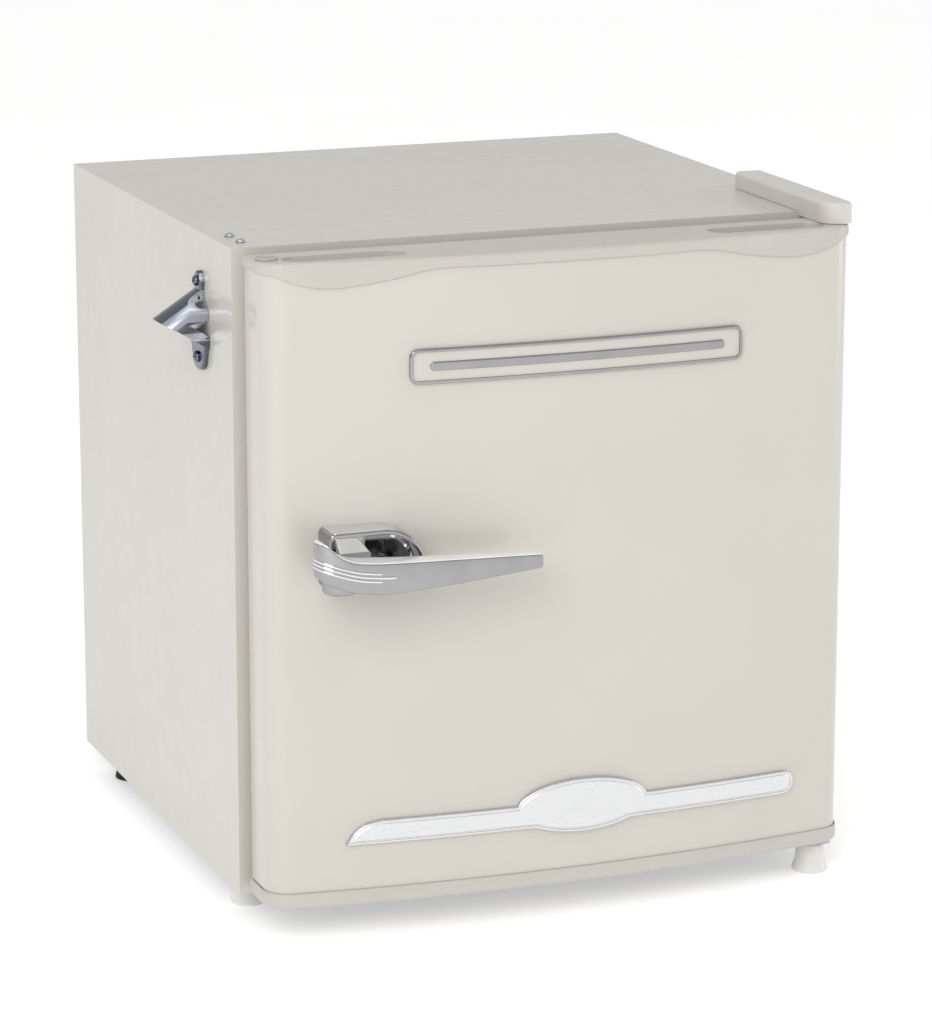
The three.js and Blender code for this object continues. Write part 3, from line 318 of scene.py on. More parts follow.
PAINTED_HIGHLIGHT_WHITE = chrome("painted_highlight_white", linear(250, 250, 250), 0.16, 0.35)
DARK_CHROME = chrome("dark_chrome", linear(104, 111, 120), 0.1)


# ---- outlines: lists of (u, v) points, counter-clockwise ----
def arc(centre, radius, start, end, step=4):
    """Points on an arc between two angles in degrees, about one every `step` degrees."""
    wide, tall = radius if isinstance(radius, tuple) else (radius, radius)
    count = max(2, math.ceil(abs(end - start) / step))
    angles = (math.radians(start + (end - start) * k / count) for k in range(count + 1))
    return [(centre[0] + wide * math.cos(a), centre[1] + tall * math.sin(a)) for a in angles]


def rounded(corners, radii, step=6):
    """The polygon through the corners, each rounded to its own radius."""
    loop = []
    for i, (corner, radius) in enumerate(zip(corners, radii)):
        here = Vector(corner)
        if radius == 0:
            loop.append(tuple(here))
            continue
        back = (Vector(corners[i - 1]) - here).normalized()
        ahead = (Vector(corners[(i + 1) % len(corners)]) - here).normalized()
        half = back.angle(ahead) / 2
        centre = here + (back + ahead).normalized() * (radius / math.sin(half))
        start = here + back * (radius / math.tan(half)) - centre
        end = here + ahead * (radius / math.tan(half)) - centre
        first = math.degrees(math.atan2(start.y, start.x))
        turn = (math.degrees(math.atan2(end.y, end.x)) - first + 180) % 360 - 180
        loop += arc(centre, radius, first, first + turn, step)
    return loop


def rectangle(u, v, radii, step=6):
    """Radii: low-left, low-right, top-right, top-left, or one for all."""
    radii = radii if isinstance(radii, (list, tuple)) else [radii] * 4
    return rounded([(u[0], v[0]), (u[1], v[0]), (u[1], v[1]), (u[0], v[1])], radii, step)


def inset(loop, distance):
    """The closed outline moved inwards."""
    points = [Vector(p) for p in loop]
    moved = []
    for i, here in enumerate(points):
        before = (here - points[i - 1]).normalized()
        after = (points[(i + 1) % len(points)] - here).normalized()
        sum_of_normals = Vector((-before.y - after.y, before.x + after.x))
        offset = sum_of_normals * (distance / (1 + before.dot(after)))
        moved.append(tuple(here + offset))
    return moved


def curve_through(points, count=8):
    """A smooth line through the points, `count` steps between each two."""
    points = [Vector(p) for p in points]
    ends = [2 * points[0] - points[1], *points, 2 * points[-1] - points[-2]]
    line = []
    for a, b, c, d in zip(ends, ends[1:], ends[2:], ends[3:]):
        for k in range(count):
            t = k / count
            square = (2 * a - 5 * b + 4 * c - d) * t**2
            cube = (3 * b - a - 3 * c + d) * t**3
            line.append(0.5 * (2 * b + (c - a) * t + square + cube))
    return line + [points[-1]]


def value_at(line, x):
    """The second coordinate of a line of points, where its first is x."""
    points = sorted((p[0], p[1]) for p in line)
    if x <= points[0][0]:
        return points[0][1]
    for (x0, y0), (x1, y1) in zip(points, points[1:]):
        if x <= x1:
            return y0 + (y1 - y0) * (x - x0) / max(x1 - x0, 1e-9)
    return points[-1][1]


def quarter(radius, count=4):
    """Profile steps (inset, rise) of a rounded edge that starts upright and ends level."""
    angles = (math.pi / 2 * k / count for k in range(count + 1))
    return [(radius * (1 - math.cos(a)), radius * math.sin(a)) for a in angles]


# ---- meshes ----
def ring(bm, points):
    return [bm.verts.new(p) for p in points]


def bridge(bm, low, high):
    count = len(low)
    for i in range(count):
        j = (i + 1) % count
        bm.faces.new((low[i], low[j], high[j], high[i]))


def loft(bm, rings, caps=(True, True), looped=False):
    """A skin over successive rings of points, with a face over the first and the last if asked."""
    rows = [ring(bm, points) for points in rings]
    for low, high in zip(rows, rows[1:]):
        bridge(bm, low, high)
    if looped:
        bridge(bm, rows[-1], rows[0])
        return rows
    if caps[0]:
        bm.faces.new(rows[0][::-1])
    if caps[1]:
        bm.faces.new(rows[-1])
    return rows


def fill_between(bm, *loops):
    """A flat face with holes, from loops of vertices."""
    edges = []
    for loop in loops:
        for a, b in zip(loop, loop[1:] + loop[:1]):
            edges.append(bm.edges.get((a, b)) or bm.edges.new((a, b)))
    bmesh.ops.triangle_fill(bm, edges=edges, use_beauty=True, use_dissolve=False)


def flat_z(loop, z):
    return [(u, v, z) for u, v in loop]


def flat_y(loop, y):
    return [(u, y, v) for u, v in loop]


def flat_x(loop, x):
    return [(x, u, v) for u, v in loop]


def rims(loop, lift, level, edge, outward, count=4):
    """Rings of a rounded rim that ends at `level`; `outward` is the sign of the rim's direction."""
    steps = quarter(edge, count) + [(edge + RIM_MARGIN, edge)]
    return [lift(inset(loop, d), level - outward * (edge - rise)) for d, rise in steps]


def lofted(rings, caps=(True, True), looped=False):
    """A new mesh in progress that holds one loft."""
    bm = bmesh.new()
    loft(bm, rings, caps, looped)
    return bm


def prism(loop, lift, low, high):
    """A mesh: the outline drawn out from low to high."""
    return to_mesh("prism", lofted([lift(loop, low), lift(loop, high)]))


def lathe(bm, profile, centre, axis=(0, 0, 1), segments=64):
    """A turned solid: profile points are (radius, height), and start and end on the axis or meet."""
    turn = Vector((0, 0, 1)).rotation_difference(Vector(axis)).to_matrix()
    rows = []
    for radius, height in profile:
        if radius < 1e-6:
            rows.append([bm.verts.new(turn @ Vector((0, 0, height)) + Vector(centre))])
            continue
        circle = [(x, y, height) for x, y in arc((0, 0), radius, 0, 360, 360 / segments)[:-1]]
        rows.append(ring(bm, [turn @ Vector(p) + Vector(centre) for p in circle]))
    for low, high in zip(rows, rows[1:]):
        if len(low) > 1 and len(high) > 1:
            bridge(bm, low, high)
            continue
        tip, rim = (low[0], high) if len(low) == 1 else (high[0], low)
        for a, b in zip(rim, rim[1:] + rim[:1]):
            bm.faces.new((tip, a, b))


def tube(bm, points, radius, sides=12):
    """A round bar along a line of points, with domed ends."""
    points = [Vector(p) for p in points]
    directions = []
    for i in range(len(points)):
        before = points[max(i - 1, 0)]
        after = points[min(i + 1, len(points) - 1)]
        directions.append((after - before).normalized())
    normal = directions[0].orthogonal().normalized()
    frames = []
    for point, along in zip(points, directions):
        normal = (normal - along * normal.dot(along)).normalized()
        frames.append((point, normal, along.cross(normal)))

    def circle(centre, normal, side, size):
        return [centre + normal * u + side * v for u, v in arc((0, 0), size, 0, 360, 360 / sides)[:-1]]

    domes = [(share, math.sqrt(1 - share * share)) for share in (0.9, 0.6, 0.3)]
    (start, n0, s0), (end, n1, s1) = frames[0], frames[-1]
    loops = [circle(start - directions[0] * radius * d, n0, s0, radius * r) for d, r in domes]
    loops += [circle(p, n, s, radius) for p, n, s in frames]
    loops += [circle(end + directions[-1] * radius * d, n1, s1, radius * r) for d, r in domes[::-1]]
    loft(bm, loops)


def bent(corners, bend, count=7):
    """A line through the corner points, each corner rounded."""
    corners = [Vector(c) for c in corners]
    line = [corners[0]]
    for before, here, after in zip(corners, corners[1:], corners[2:]):
        start = here + (before - here).normalized() * bend
        end = here + (after - here).normalized() * bend
        for k in range(count + 1):
            t = k / count
            line.append(start * (1 - t) ** 2 + here * (2 * t * (1 - t)) + end * t**2)
    return line + [corners[-1]]


def to_mesh(name, bm):
    bmesh.ops.remove_doubles(bm, verts=bm.verts, dist=0.002)
    bmesh.ops.recalc_face_normals(bm, faces=bm.faces)
    mesh = bpy.data.meshes.new(name)
    bm.to_mesh(mesh)
    bm.free()
    return mesh


def piece(name, shape, nodes, crease=32, bevel=0.0, finish=None):
    """A finished piece that stands for CAD nodes, rides with them and takes their finish."""
    nodes = [nodes] if isinstance(nodes, str) else nodes
    mesh = shape if isinstance(shape, bpy.types.Mesh) else to_mesh(name, shape)
    mesh.transform(Matrix.Translation(ORIGIN) @ Matrix.Diagonal((MM, MM, MM, 1)))
    mesh.materials.clear()
    mesh.materials.append(finish or FINISHES[SLOT_OF[nodes[0]]])
    mesh.shade_smooth()
    mesh.set_sharp_from_angle(angle=math.radians(crease))
    obj = bpy.data.objects.new(name, mesh)
    bpy.context.scene.collection.objects.link(obj)
    if bevel:
        add_bevel(obj, bevel)
    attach(obj, BODY_OF[nodes[0]])
    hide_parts(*nodes)
    return obj


def turned(name, profile, centre, node, axis=(0, 0, 1), segments=64, **look):
    """A piece that is one turned solid."""
    bm = bmesh.new()
    lathe(bm, profile, centre, axis, segments)
    piece(name, bm, node, **look)


def give_painted_highlight(obj, towards, limit, finish):
    """Paints a highlight: gives a lighter finish to the faces that look along a direction, where the lights
    glint.
    """
    obj.data.materials.append(finish)
    added = len(obj.data.materials) - 1
    towards = Vector(towards).normalized()
    for polygon in obj.data.polygons:
        if polygon.normal.dot(towards) > limit:
            polygon.material_index = added


def add_bevel(obj, width, segments=3, angle=35):
    modifier = obj.modifiers.new("edges", "BEVEL")
    modifier.width = width * MM
    modifier.segments = segments
    modifier.limit_method = "ANGLE"
    modifier.angle_limit = math.radians(angle)
    modifier.harden_normals = True


def refined(node, bevel):
    """A CAD solid's own shape with its coplanar triangles merged and its edges rounded."""
    bm = bmesh.new()
    bm.from_mesh(frame["nodes"][node].data)
    bmesh.ops.remove_doubles(bm, verts=bm.verts, dist=1e-6)
    bmesh.ops.dissolve_limit(bm, angle_limit=math.radians(1), verts=bm.verts, edges=bm.edges)
    for vert in bm.verts:
        vert.co = (vert.co - ORIGIN) / MM
    piece(node + "_piece", bm, node, bevel=bevel)


def combined(mesh, other, operation="DIFFERENCE"):
    """The two meshes (in millimetres) after a boolean."""
    objects = [bpy.data.objects.new("working", m) for m in (mesh, other)]
    for obj in objects:
        bpy.context.scene.collection.objects.link(obj)
    modifier = objects[0].modifiers.new("working", "BOOLEAN")
    modifier.operation = operation
    modifier.object = objects[1]
    modifier.solver = "EXACT"
    evaluated = objects[0].evaluated_get(bpy.context.evaluated_depsgraph_get())
    result = bpy.data.meshes.new_from_object(evaluated)
    for obj in objects:
        bpy.data.objects.remove(obj)
    return result


# ---- door ----
cap_low, cap_high = box_mm("door_top_cap")
DOOR_HALF = cap_high.x
DOOR_BACK = cap_high.y
BOW_CENTRE = cap_low.y + DOOR_BOW
CORNER_X = DOOR_HALF - DOOR_CORNER
CORNER_Y = BOW_CENTRE - math.sqrt((DOOR_BOW - DOOR_CORNER) ** 2 - CORNER_X**2)


def door_front(gap=0.0):
    """The door's front from above, left side to right side, `gap` inside the caps' outer face."""
    turn = math.degrees(math.atan2(BOW_CENTRE - CORNER_Y, CORNER_X))
    left = arc((-CORNER_X, CORNER_Y), DOOR_CORNER - gap, 180, 180 + turn, 5)
    bow = arc((0, BOW_CENTRE), DOOR_BOW - gap, 180 + turn, 360 - turn, 0.25)
    right = arc((CORNER_X, CORNER_Y), DOOR_CORNER - gap, 360 - turn, 360, 5)
    return left + bow[1:-1] + right


def door_loop():
    return [(DOOR_HALF, DOOR_BACK), (-DOOR_HALF, DOOR_BACK)] + door_front()


def skin_y(x):
    """Where the door sheet's face is, at a distance from the door's middle."""
    return BOW_CENTRE - math.sqrt((DOOR_BOW - DOOR_INSET) ** 2 - x * x)


def bend_to_door(bm, step=6):
    """Bends a piece drawn flat (y is minus its height over the door sheet) onto the bowed front."""
    low = min(v.co.x for v in bm.verts)
    high = max(v.co.x for v in bm.verts)
    for k in range(1, int((high - low) / step)):
        geometry = bm.verts[:] + bm.edges[:] + bm.faces[:]
        place = (low + k * step, 0, 0)
        bmesh.ops.bisect_plane(bm, geom=geometry, plane_co=place, plane_no=(1, 0, 0))
    for vert in bm.verts:
        vert.co.y += skin_y(vert.co.x)


def door_skin():
    low, high = box_mm("door_skin")
    edge = 0.4
    outer, inner = (
        [(line[0][0], DOOR_BACK), *line, (line[-1][0], DOOR_BACK)]
        for line in (door_front(DOOR_INSET), door_front(DOOR_INSET + DOOR_SHEET))
    )
    section = outer + inner[::-1]
    narrow = inset(section, edge)
    rings = [flat_z(narrow, low.z), flat_z(section, low.z + edge)]
    rings += [flat_z(section, high.z - edge), flat_z(narrow, high.z)]
    piece("door_sheet", lofted(rings), "door_skin")


# Lower edge of the top cap's front, half of it: level in the middle, one dip before each corner.
WAVE_LEVEL = 468
WAVE_START = 60  # distance from the door's middle
CAP_WAVE = curve_through(
    [(WAVE_START, WAVE_LEVEL), (100, WAVE_LEVEL), (132, 462), (168, 458), (190, 460.5)]
    + [(212, WAVE_LEVEL), (230, WAVE_LEVEL)]
)


def cap_lip(loop, rise=0.0):
    """The outline at the height of the cap's lower edge."""
    return [(x, y, value_at(CAP_WAVE, max(abs(x), WAVE_START + 1)) + rise) for x, y in loop]


def door_top_cap():
    """A plate with a rounded rim, a skirt, two finger slots and a hinge hole at each end."""
    top = cap_high.z
    outline = door_loop()
    inside = inset(outline, CAP_WALL)
    bm = bmesh.new()
    rings = [flat_z(inside, top - CAP_PLATE), cap_lip(inside, 0.4), cap_lip(inset(outline, 0.7))]
    rings += [cap_lip(inset(outline, 0.3)), cap_lip(outline, 0.5)]
    rings += rims(outline, flat_z, top, CAP_EDGE, 1, 6)
    rows = loft(bm, rings, caps=(False, False))
    above, below = [rows[-1]], [rows[0]]
    lead, bottom_edge = 1.4, 4.0
    floor = top - CAP_SLOTS["depth"]
    for side in (-1, 1):
        x = sorted(side * u for u in CAP_SLOTS["x"])
        slot = rectangle(x, CAP_SLOTS["y"], 11.5, 9)
        mouth = [flat_z(inset(slot, -d), top - lead + rise) for d, rise in quarter(lead, 5)][::-1]
        base = [flat_z(inset(slot, d), floor + bottom_edge - rise) for d, rise in quarter(bottom_edge)]
        above.append(loft(bm, mouth + base, caps=(False, True))[0])
        around = inset(slot, -CAP_WALL)
        shell = [flat_z(around, top - CAP_PLATE), flat_z(around, floor)]
        shell.append(flat_z(inset(slot, bottom_edge), floor - CAP_WALL))
        below.append(loft(bm, shell, caps=(False, True))[0])
    for side in (-1, 1):
        hole = arc((side * HINGE_AXIS[0], HINGE_AXIS[1]), HINGE_HOLE, 0, 360, 8)[:-1]
        rows = loft(bm, [flat_z(hole, top), flat_z(hole, top - CAP_PLATE)], caps=(False, False))
        above.append(rows[0])
        below.append(rows[1])
    fill_between(bm, *above)
    fill_between(bm, *below)
    piece("door_cap_upper", bm, "door_top_cap", crease=28)


def door_bottom_cap():
    """A plate with a rounded rim and a short skirt, and a hole for the lower hinge's bush."""
    low, high = box_mm("door_bottom_cap")
    outline = door_loop()
    inside = inset(outline, CAP_WALL)
    floor = low.z + CAP_PLATE
    bm = bmesh.new()
    rings = [flat_z(inside, floor), flat_z(inside, high.z - 0.4), flat_z(inset(outline, 0.6), high.z)]
    rings += [flat_z(inset(outline, 0.2), high.z - 0.2), flat_z(outline, high.z - 0.6)]
    rings += rims(outline, flat_z, low.z, 2.5, -1, 5)
    rows = loft(bm, rings, caps=(False, False))
    hole = arc(HINGE_AXIS, HINGE_HOLE, 0, 360, 8)[:-1]
    sides = loft(bm, [flat_z(hole, floor), flat_z(hole, low.z)], caps=(False, False))
    fill_between(bm, rows[0], sides[0])
    fill_between(bm, rows[-1], sides[-1])
    piece("door_cap_lower", bm, "door_bottom_cap", crease=28)


def badge_plate():
    """A plain plaque: a bright rim and one raised bar, round a panel in the door's own enamel."""
    low, high = box_mm("badge_plate")
    outline = rectangle((low.x, high.x), (low.z, high.z), BADGE_CORNER)
    proud, rim, panel = 2.6, 2.0, 1.5
    inner = inset(outline, rim + 0.3)
    rings = [flat_y(outline, -TOUCH), *rims(outline, flat_y, -proud, 0.7, -1)]
    rings += [flat_y(inset(outline, rim), -proud), flat_y(inner, -panel), flat_y(inner, -TOUCH)]
    middle = (low.z + high.z) / 2
    bar = rectangle((low.x + 14, high.x - 14), (middle - 3, middle + 3), 2.9)
    bar_rings = [flat_y(bar, -panel + 0.2), *rims(bar, flat_y, -proud, 0.8, -1)]
    parts = {
        "badge_rim": (lofted(rings, looped=True), None),
        "badge_panel": (lofted([flat_y(inner, -TOUCH), flat_y(inner, -panel)]), FINISHES["door_paint"]),
        "badge_bar": (lofted(bar_rings), None),
    }
    for name, (bm, finish) in parts.items():
        bend_to_door(bm)
        piece(name, bm, "badge_plate", finish=finish)


def trim_outline():
    """A bar with a pointed left end and a round right end, and an oval across its middle."""
    low, high = box_mm("bottom_trim")
    bar_low, bar_high = TRIM_BAR
    middle = (low.z + high.z) / 2
    tall = (high.z - low.z) / 2
    wide = 49
    below = math.degrees(math.asin((bar_low - middle) / tall))
    above = math.degrees(math.asin((bar_high - middle) / tall))
    radius = (bar_high - bar_low) / 2
    tip = [(-138, bar_high), (-150, 84.6), (-158.5, 79), (low.x, bar_low)]
    return (
        [(low.x, bar_low)]
        + arc((TRIM_OVAL_X, middle), (wide, tall), -180 - below, below, 5)
        + arc((high.x - radius, bar_low + radius), radius, -90, 90, 8)
        + arc((TRIM_OVAL_X, middle), (wide, tall), above, 180 - above, 5)
        + [tuple(p) for p in curve_through(tip, 6)[:-1]]
    )


def bottom_trim():
    """A brushed bar inside a fine rim and groove, swelling forward over its oval."""
    outline = trim_outline()
    proud, rim, groove = 3.0, 1.5, 0.5
    rings = [flat_y(outline, -TOUCH), *rims(outline, flat_y, -proud, 0.7, -1)]
    rings += [flat_y(inset(outline, rim), -proud), flat_y(inset(outline, rim + 0.3), groove - proud)]
    rings += [flat_y(inset(outline, rim + 0.9), groove - proud)]
    rings += [flat_y(inset(outline, rim + 1.4), 0.2 - proud)]
    bm = lofted(rings)
    bend_to_door(bm, 4)
    reach, lift = 46, 1.6
    for vert in bm.verts:
        share = max(0, 1 - abs(vert.co.x - TRIM_OVAL_X) / reach)
        height = skin_y(vert.co.x) - vert.co.y
        if height > 1:
            vert.co.y -= lift * (1 - (1 - share) ** 3) * min(1, (height - 1) / 1.5)
    piece("lower_trim", bm, "bottom_trim", crease=25, finish=SATIN_TRIM)


# ---- handle ----
def handle_base():
    """A plate with a finger dish, and the neck that carries the lever in front of it."""
    low, high = box_mm("handle_base")
    edge, lip = 1.6, 3.8
    outline = rectangle((low.x, high.x), (low.z, high.z), [5, 12, 30, 5], 5)
    dish = rectangle((low.x + 25, high.x - lip), (low.z + lip, high.z - lip), [4, 8, 26, 4], 5)
    bm = bmesh.new()
    outer = loft(bm, [flat_y(outline, -52), *rims(outline, flat_y, BASE_FRONT, edge, -1)], (True, False))
    lead = 0.8
    cup = [flat_y(inset(dish, -d), BASE_FRONT + lead - rise) for d, rise in quarter(lead)][::-1]
    cup += [flat_y(inset(dish, 1.2), BASE_FRONT + 10.5), flat_y(inset(dish, 3), BASE_FRONT + 12)]
    inner = loft(bm, cup, caps=(False, True))
    fill_between(bm, outer[-1], inner[0])
    for vert in bm.verts:
        if vert.co.y > -53:
            vert.co.y = skin_y(vert.co.x) - TOUCH
    stations = [(BASE_FRONT + 2, -178, 293.3), (BASE_FRONT, -178, 293.3)]
    stations += [(-85, -179, 289.5), (-91.5, -179.5, 286)]
    rings = []
    for y, left, top in stations:
        right = -161 + (BASE_FRONT - y) * 0.3
        rings.append(flat_y(rectangle((left, right), (264, top), [2, 2, 1.5, 1.5], 15), y))
    whole = combined(to_mesh("base", bm), to_mesh("neck", lofted(rings)), "UNION")
    mount = piece("handle_mount", whole, "handle_base", crease=35)
    # Painted highlight: the neck's up-and-forward facet and the upward faces get the lighter chrome.
    give_painted_highlight(mount, (0, -0.6, 0.8), 0.97, PAINTED_HIGHLIGHT_CHROME)
    give_painted_highlight(mount, (0, 0, 1), 0.9, PAINTED_HIGHLIGHT_CHROME)


LEVER_FACE = curve_through(
    [(-197, -92.5), (-195.8, -98), (-191, -103), (-183, -106.3), (-172, -108.3), (-150, -109)]
    + [(-95, -106.5), (-40, -103.5), (-37, -103)]
)
LEVER_BACK = curve_through(
    [(-197, -92.5), (-195.5, -87), (-190.5, -83), (-183, -81.2), (-166, -84), (-150, -91)]
    + [(-95, -93), (-40, -95), (-37, -95.5)]
)
LEVER_TOP = curve_through(
    [(-198, 296.2), (-192, 295.6), (-188.5, 292.5), (-183, 287.6), (-175, 284), (-166, 282.6)]
    + [(-148, 281.3), (-95, 278.9), (-41, 276.5), (-37, 275.8)]
)
LEVER_LOW = curve_through(
    [(-198, 274), (-193.3, 269.8), (-185, 266), (-174.4, 262.6), (-158.3, 260.1), (-147.8, 259.8)]
    + [(-130, 260.4), (-95, 262.1), (-41, 266.3), (-37, 266.8)]
)
RIB_PITCH = 2.7
RIB_RISE = curve_through([(-198, 282), (-188, 278.6), (-172, 274), (-158, 271.9), (-145, 270.9)])


def handle_lever():
    """A bar with a rounded rectangular section that wraps round the pivot at its left end."""
    nose_length = 12
    stations = [LEVER_NOSE + nose_length * (1 - math.cos(math.pi / 2 * k / 12)) for k in range(1, 12)]
    run = LEVER_TIP - 1 - LEVER_NOSE - nose_length
    stations += [LEVER_NOSE + nose_length + run * k / 40 for k in range(41)]
    rings = []
    for x in [LEVER_NOSE + 0.04, *stations, LEVER_TIP]:
        front, back = value_at(LEVER_FACE, x), value_at(LEVER_BACK, x)
        low, high = value_at(LEVER_LOW, x), value_at(LEVER_TOP, x)
        shrink = 1.2 if x == LEVER_TIP else 0
        radius = min(1.3, (back - front) * 0.45)
        section = rectangle((front + shrink, back - shrink), (low + shrink, high - shrink), radius, 18)
        rings.append(flat_x(section, x))
    # Painted highlight: the lever's upward faces get the near-white finish, a glint along its top edge.
    give_painted_highlight(piece("handle_arm", lofted(rings), "handle_lever", crease=50), (0, 0, 1), 0.5, PAINTED_HIGHLIGHT_WHITE)
    bm = bmesh.new()
    for lift, right in ((RIB_PITCH, -156), (0, -146), (-RIB_PITCH, -156)):
        line = [(LEVER_NOSE + 1.2, value_at(LEVER_BACK, LEVER_NOSE + 1.2) + 0.1)]
        xs = [LEVER_NOSE + 6 * (k / 8) ** 2 for k in range(9)]
        xs += [LEVER_NOSE + 6 + (right - LEVER_NOSE - 6) * k / 24 for k in range(1, 25)]
        line += [(x, value_at(LEVER_FACE, x) - 0.1) for x in xs]
        tube(bm, [(x, y, value_at(RIB_RISE, x) + lift) for x, y in line], 0.8, 10)
    # The ribs get the lighter chrome all over: brighter plating, and a painted highlight along the round
    # bars.
    piece("handle_ribs", bm, "handle_lever", crease=50, finish=PAINTED_HIGHLIGHT_CHROME)


def handle_barrel():
    low, high, centre, radius = round_mm("handle_barrel")
    profile = [(0, low.z), (radius - 3.5, low.z), (radius - 2.6, low.z + 0.2)]
    profile += [(radius - d, low.z + 2.6 - rise) for d, rise in quarter(2.6, 5)][::-1]
    profile += [(radius, high.z), (0, high.z)]
    bm = bmesh.new()
    lathe(bm, profile, (centre.x, centre.y, 0))
    above = [(p.x, p.y - TOUCH) for p in LEVER_LOW]
    keep_out = prism(above + [(-37, 320), (-198, 320)], flat_y, -130, -60)
    piece("handle_pivot", combined(to_mesh("barrel", bm), keep_out), "handle_barrel", crease=40)


# ---- cabinet outside ----
def hinge_cover():
    """A cap with a rounded top; its skirt drops lower where it overhangs the door."""
    low, high = box_mm("hinge_cover")
    seat = shell_high.z / MM + TOUCH
    wall, edge = 1.8, 3.0
    outline = rectangle((low.x, high.x), (low.y, high.y), [15, 6, 3, 3], 6)
    shape = to_mesh("cover", lofted([flat_z(outline, low.z), *rims(outline, flat_z, high.z, edge, 1, 6)]))
    behind = rectangle((low.x - 5, high.x + 5), (-2 * TOUCH, high.y + 5), 0)
    shape = combined(shape, prism(behind, flat_z, low.z - 5, seat))
    shape = combined(shape, prism(inset(outline, wall), flat_z, low.z - 5, high.z - wall))
    piece("hinge_cap", shape, "hinge_cover", crease=40, finish=COVER_PLASTIC)


def feet():
    """Turned screw feet: a flared pad, a waist and a threaded stud."""
    for node in ("front_left_foot", "front_right_foot", "rear_left_foot", "rear_right_foot"):
        top = 20.9 if node == "front_right_foot" else 23.7
        stud = 3.1 if "rear" in node else 4
        high, centre = round_mm(node)[1:3]
        profile = [(0, 0), (11.6, 0), (12.6, 0.3), (13, 1.2), (12.9, 2.2), (12.2, 4.5), (11.2, 7.5)]
        profile += [(10.5, 10.5), (10.2, top - 1.2), (9.9, top - 0.4), (9.2, top), (stud, top)]
        z = top + 1
        while z < high.z - 2:
            profile += [(stud, z), (stud - 0.5, z + 0.5)]
            z += 1
        profile += [(stud, high.z - 0.6), (stud - 0.6, high.z), (0, high.z)]
        finish = FINISHES["black_rubber"] if "rear" in node else FOOT_PLASTIC
        turned(node + "_turned", profile, (centre.x, centre.y, 0), node, crease=50, finish=finish)


def plugs():
    """Domed hole plugs on the cabinet and the flat disc over the door's unused hinge hole."""
    dome = [(0, -1.9), (2, -1.9), (2, 0), (3.6, 0), (3.6, 0.35), (3.35, 0.6), (3.1, 0.55)]
    dome += [(2.9, 1.0), (2.3, 1.7), (1.3, 2.2), (0, 2.3)]
    disc = [(0, -5), (5.8, -5), (5.8, 0), (8, 0), (7.9, 0.4), (7.4, 0.9), (6.2, 1.1), (5.9, 0.6), (0, 0.6)]
    for node, profile in (("top_plug_1", dome), ("top_plug_2", dome), ("cap_plug", disc)):
        low, _, centre, _ = round_mm(node)
        turned(node + "_cap", profile, (centre.x, centre.y, low.z - profile[0][1]), node, segments=48)


def screw(node, axis, shank, finish=None):
    """Pan-head screw with a cross recess; `axis` points out of the head."""
    low, high = box_mm(node)
    axis = Vector(axis)
    centre = (low + high) / 2
    length = (high - low).dot(Vector(abs(a) for a in axis))
    tip = centre - axis * (length / 2)
    head = max((high - low)[i] for i in range(3) if axis[i] == 0) / 2
    profile = [(0, 0), (1.4, 0), (2, 0.8), (2, shank), (head, shank), (head, shank + 0.7)]
    profile += [(head * 0.93, shank + 1.3), (head * 0.75, shank + 2), (head * 0.45, shank + 2.45)]
    bm = bmesh.new()
    lathe(bm, profile + [(0, shank + 2.6)], tip, axis, 40)
    turn = Vector((0, 0, 1)).rotation_difference(axis).to_matrix().to_4x4()
    place = Matrix.Translation(tip) @ turn @ Matrix.Translation((0, 0, shank + 2.4))
    shape = to_mesh(node, bm)
    for size in ((head * 1.15, 0.75), (0.75, head * 1.15)):
        cross = bmesh.new()
        bmesh.ops.create_cube(cross, size=1, matrix=place @ Matrix.Diagonal((*size, 2.4, 1)))
        shape = combined(shape, to_mesh("cross", cross))
    piece(node + "_head", shape, node, crease=40, finish=finish)


def screws():
    for k in (1, 2):
        screw(f"upper_hinge_screw_{k}", (0, 0, 1), 4.4)
        screw(f"lower_hinge_screw_{k}", (0, 0, -1), 4.7)
    screw("opener_screw_top", (-1, 0, 0), 5.4, DARK_CHROME)
    screw("opener_screw_bottom", (-1, 0, 0), 5.4, DARK_CHROME)


# ---- bottle opener ----
opener_low, opener_high = box_mm("bottle_opener")
OPENER_X = opener_high.x
OPENER_Y = (opener_low.y + opener_high.y) / 2
OPENER_TOP, OPENER_BOTTOM = opener_high.z - 6.8, opener_low.z + 9.5


def opener_plate(loop):
    """A strap lying against the cabinet's side, drawn in (y, z), its outer rim rounded."""
    face = OPENER_X - OPENER_PLATE
    return to_mesh("strap", lofted([flat_x(loop, OPENER_X), *rims(loop, flat_x, face, 1.2, -1)]))


def opener_arch(half, drop, below):
    """A rounded arch along the sloping ridge: `drop` under its top, open downwards."""
    start, end = Vector((-8, 447.8)), Vector((40, 417.2))
    rise = 11
    section = arc((0, -rise), (half, rise - drop), 0, 180, 5) + [(-half, -below), (half, -below)]
    along = (end - start).normalized()
    up = Vector((-along.y, along.x))
    rings = [
        [(OPENER_X - point.x - up.x * v, OPENER_Y + u, point.y + up.y * v) for u, v in section]
        for point in (start, end)
    ]
    return to_mesh("arch", lofted(rings))


def from_side(points, half):
    """A prism drawn from the side, in (distance out from the wall, z)."""
    loop = [(OPENER_X - out, z) for out, z in points]
    return prism(loop, flat_y, OPENER_Y - half, OPENER_Y + half)


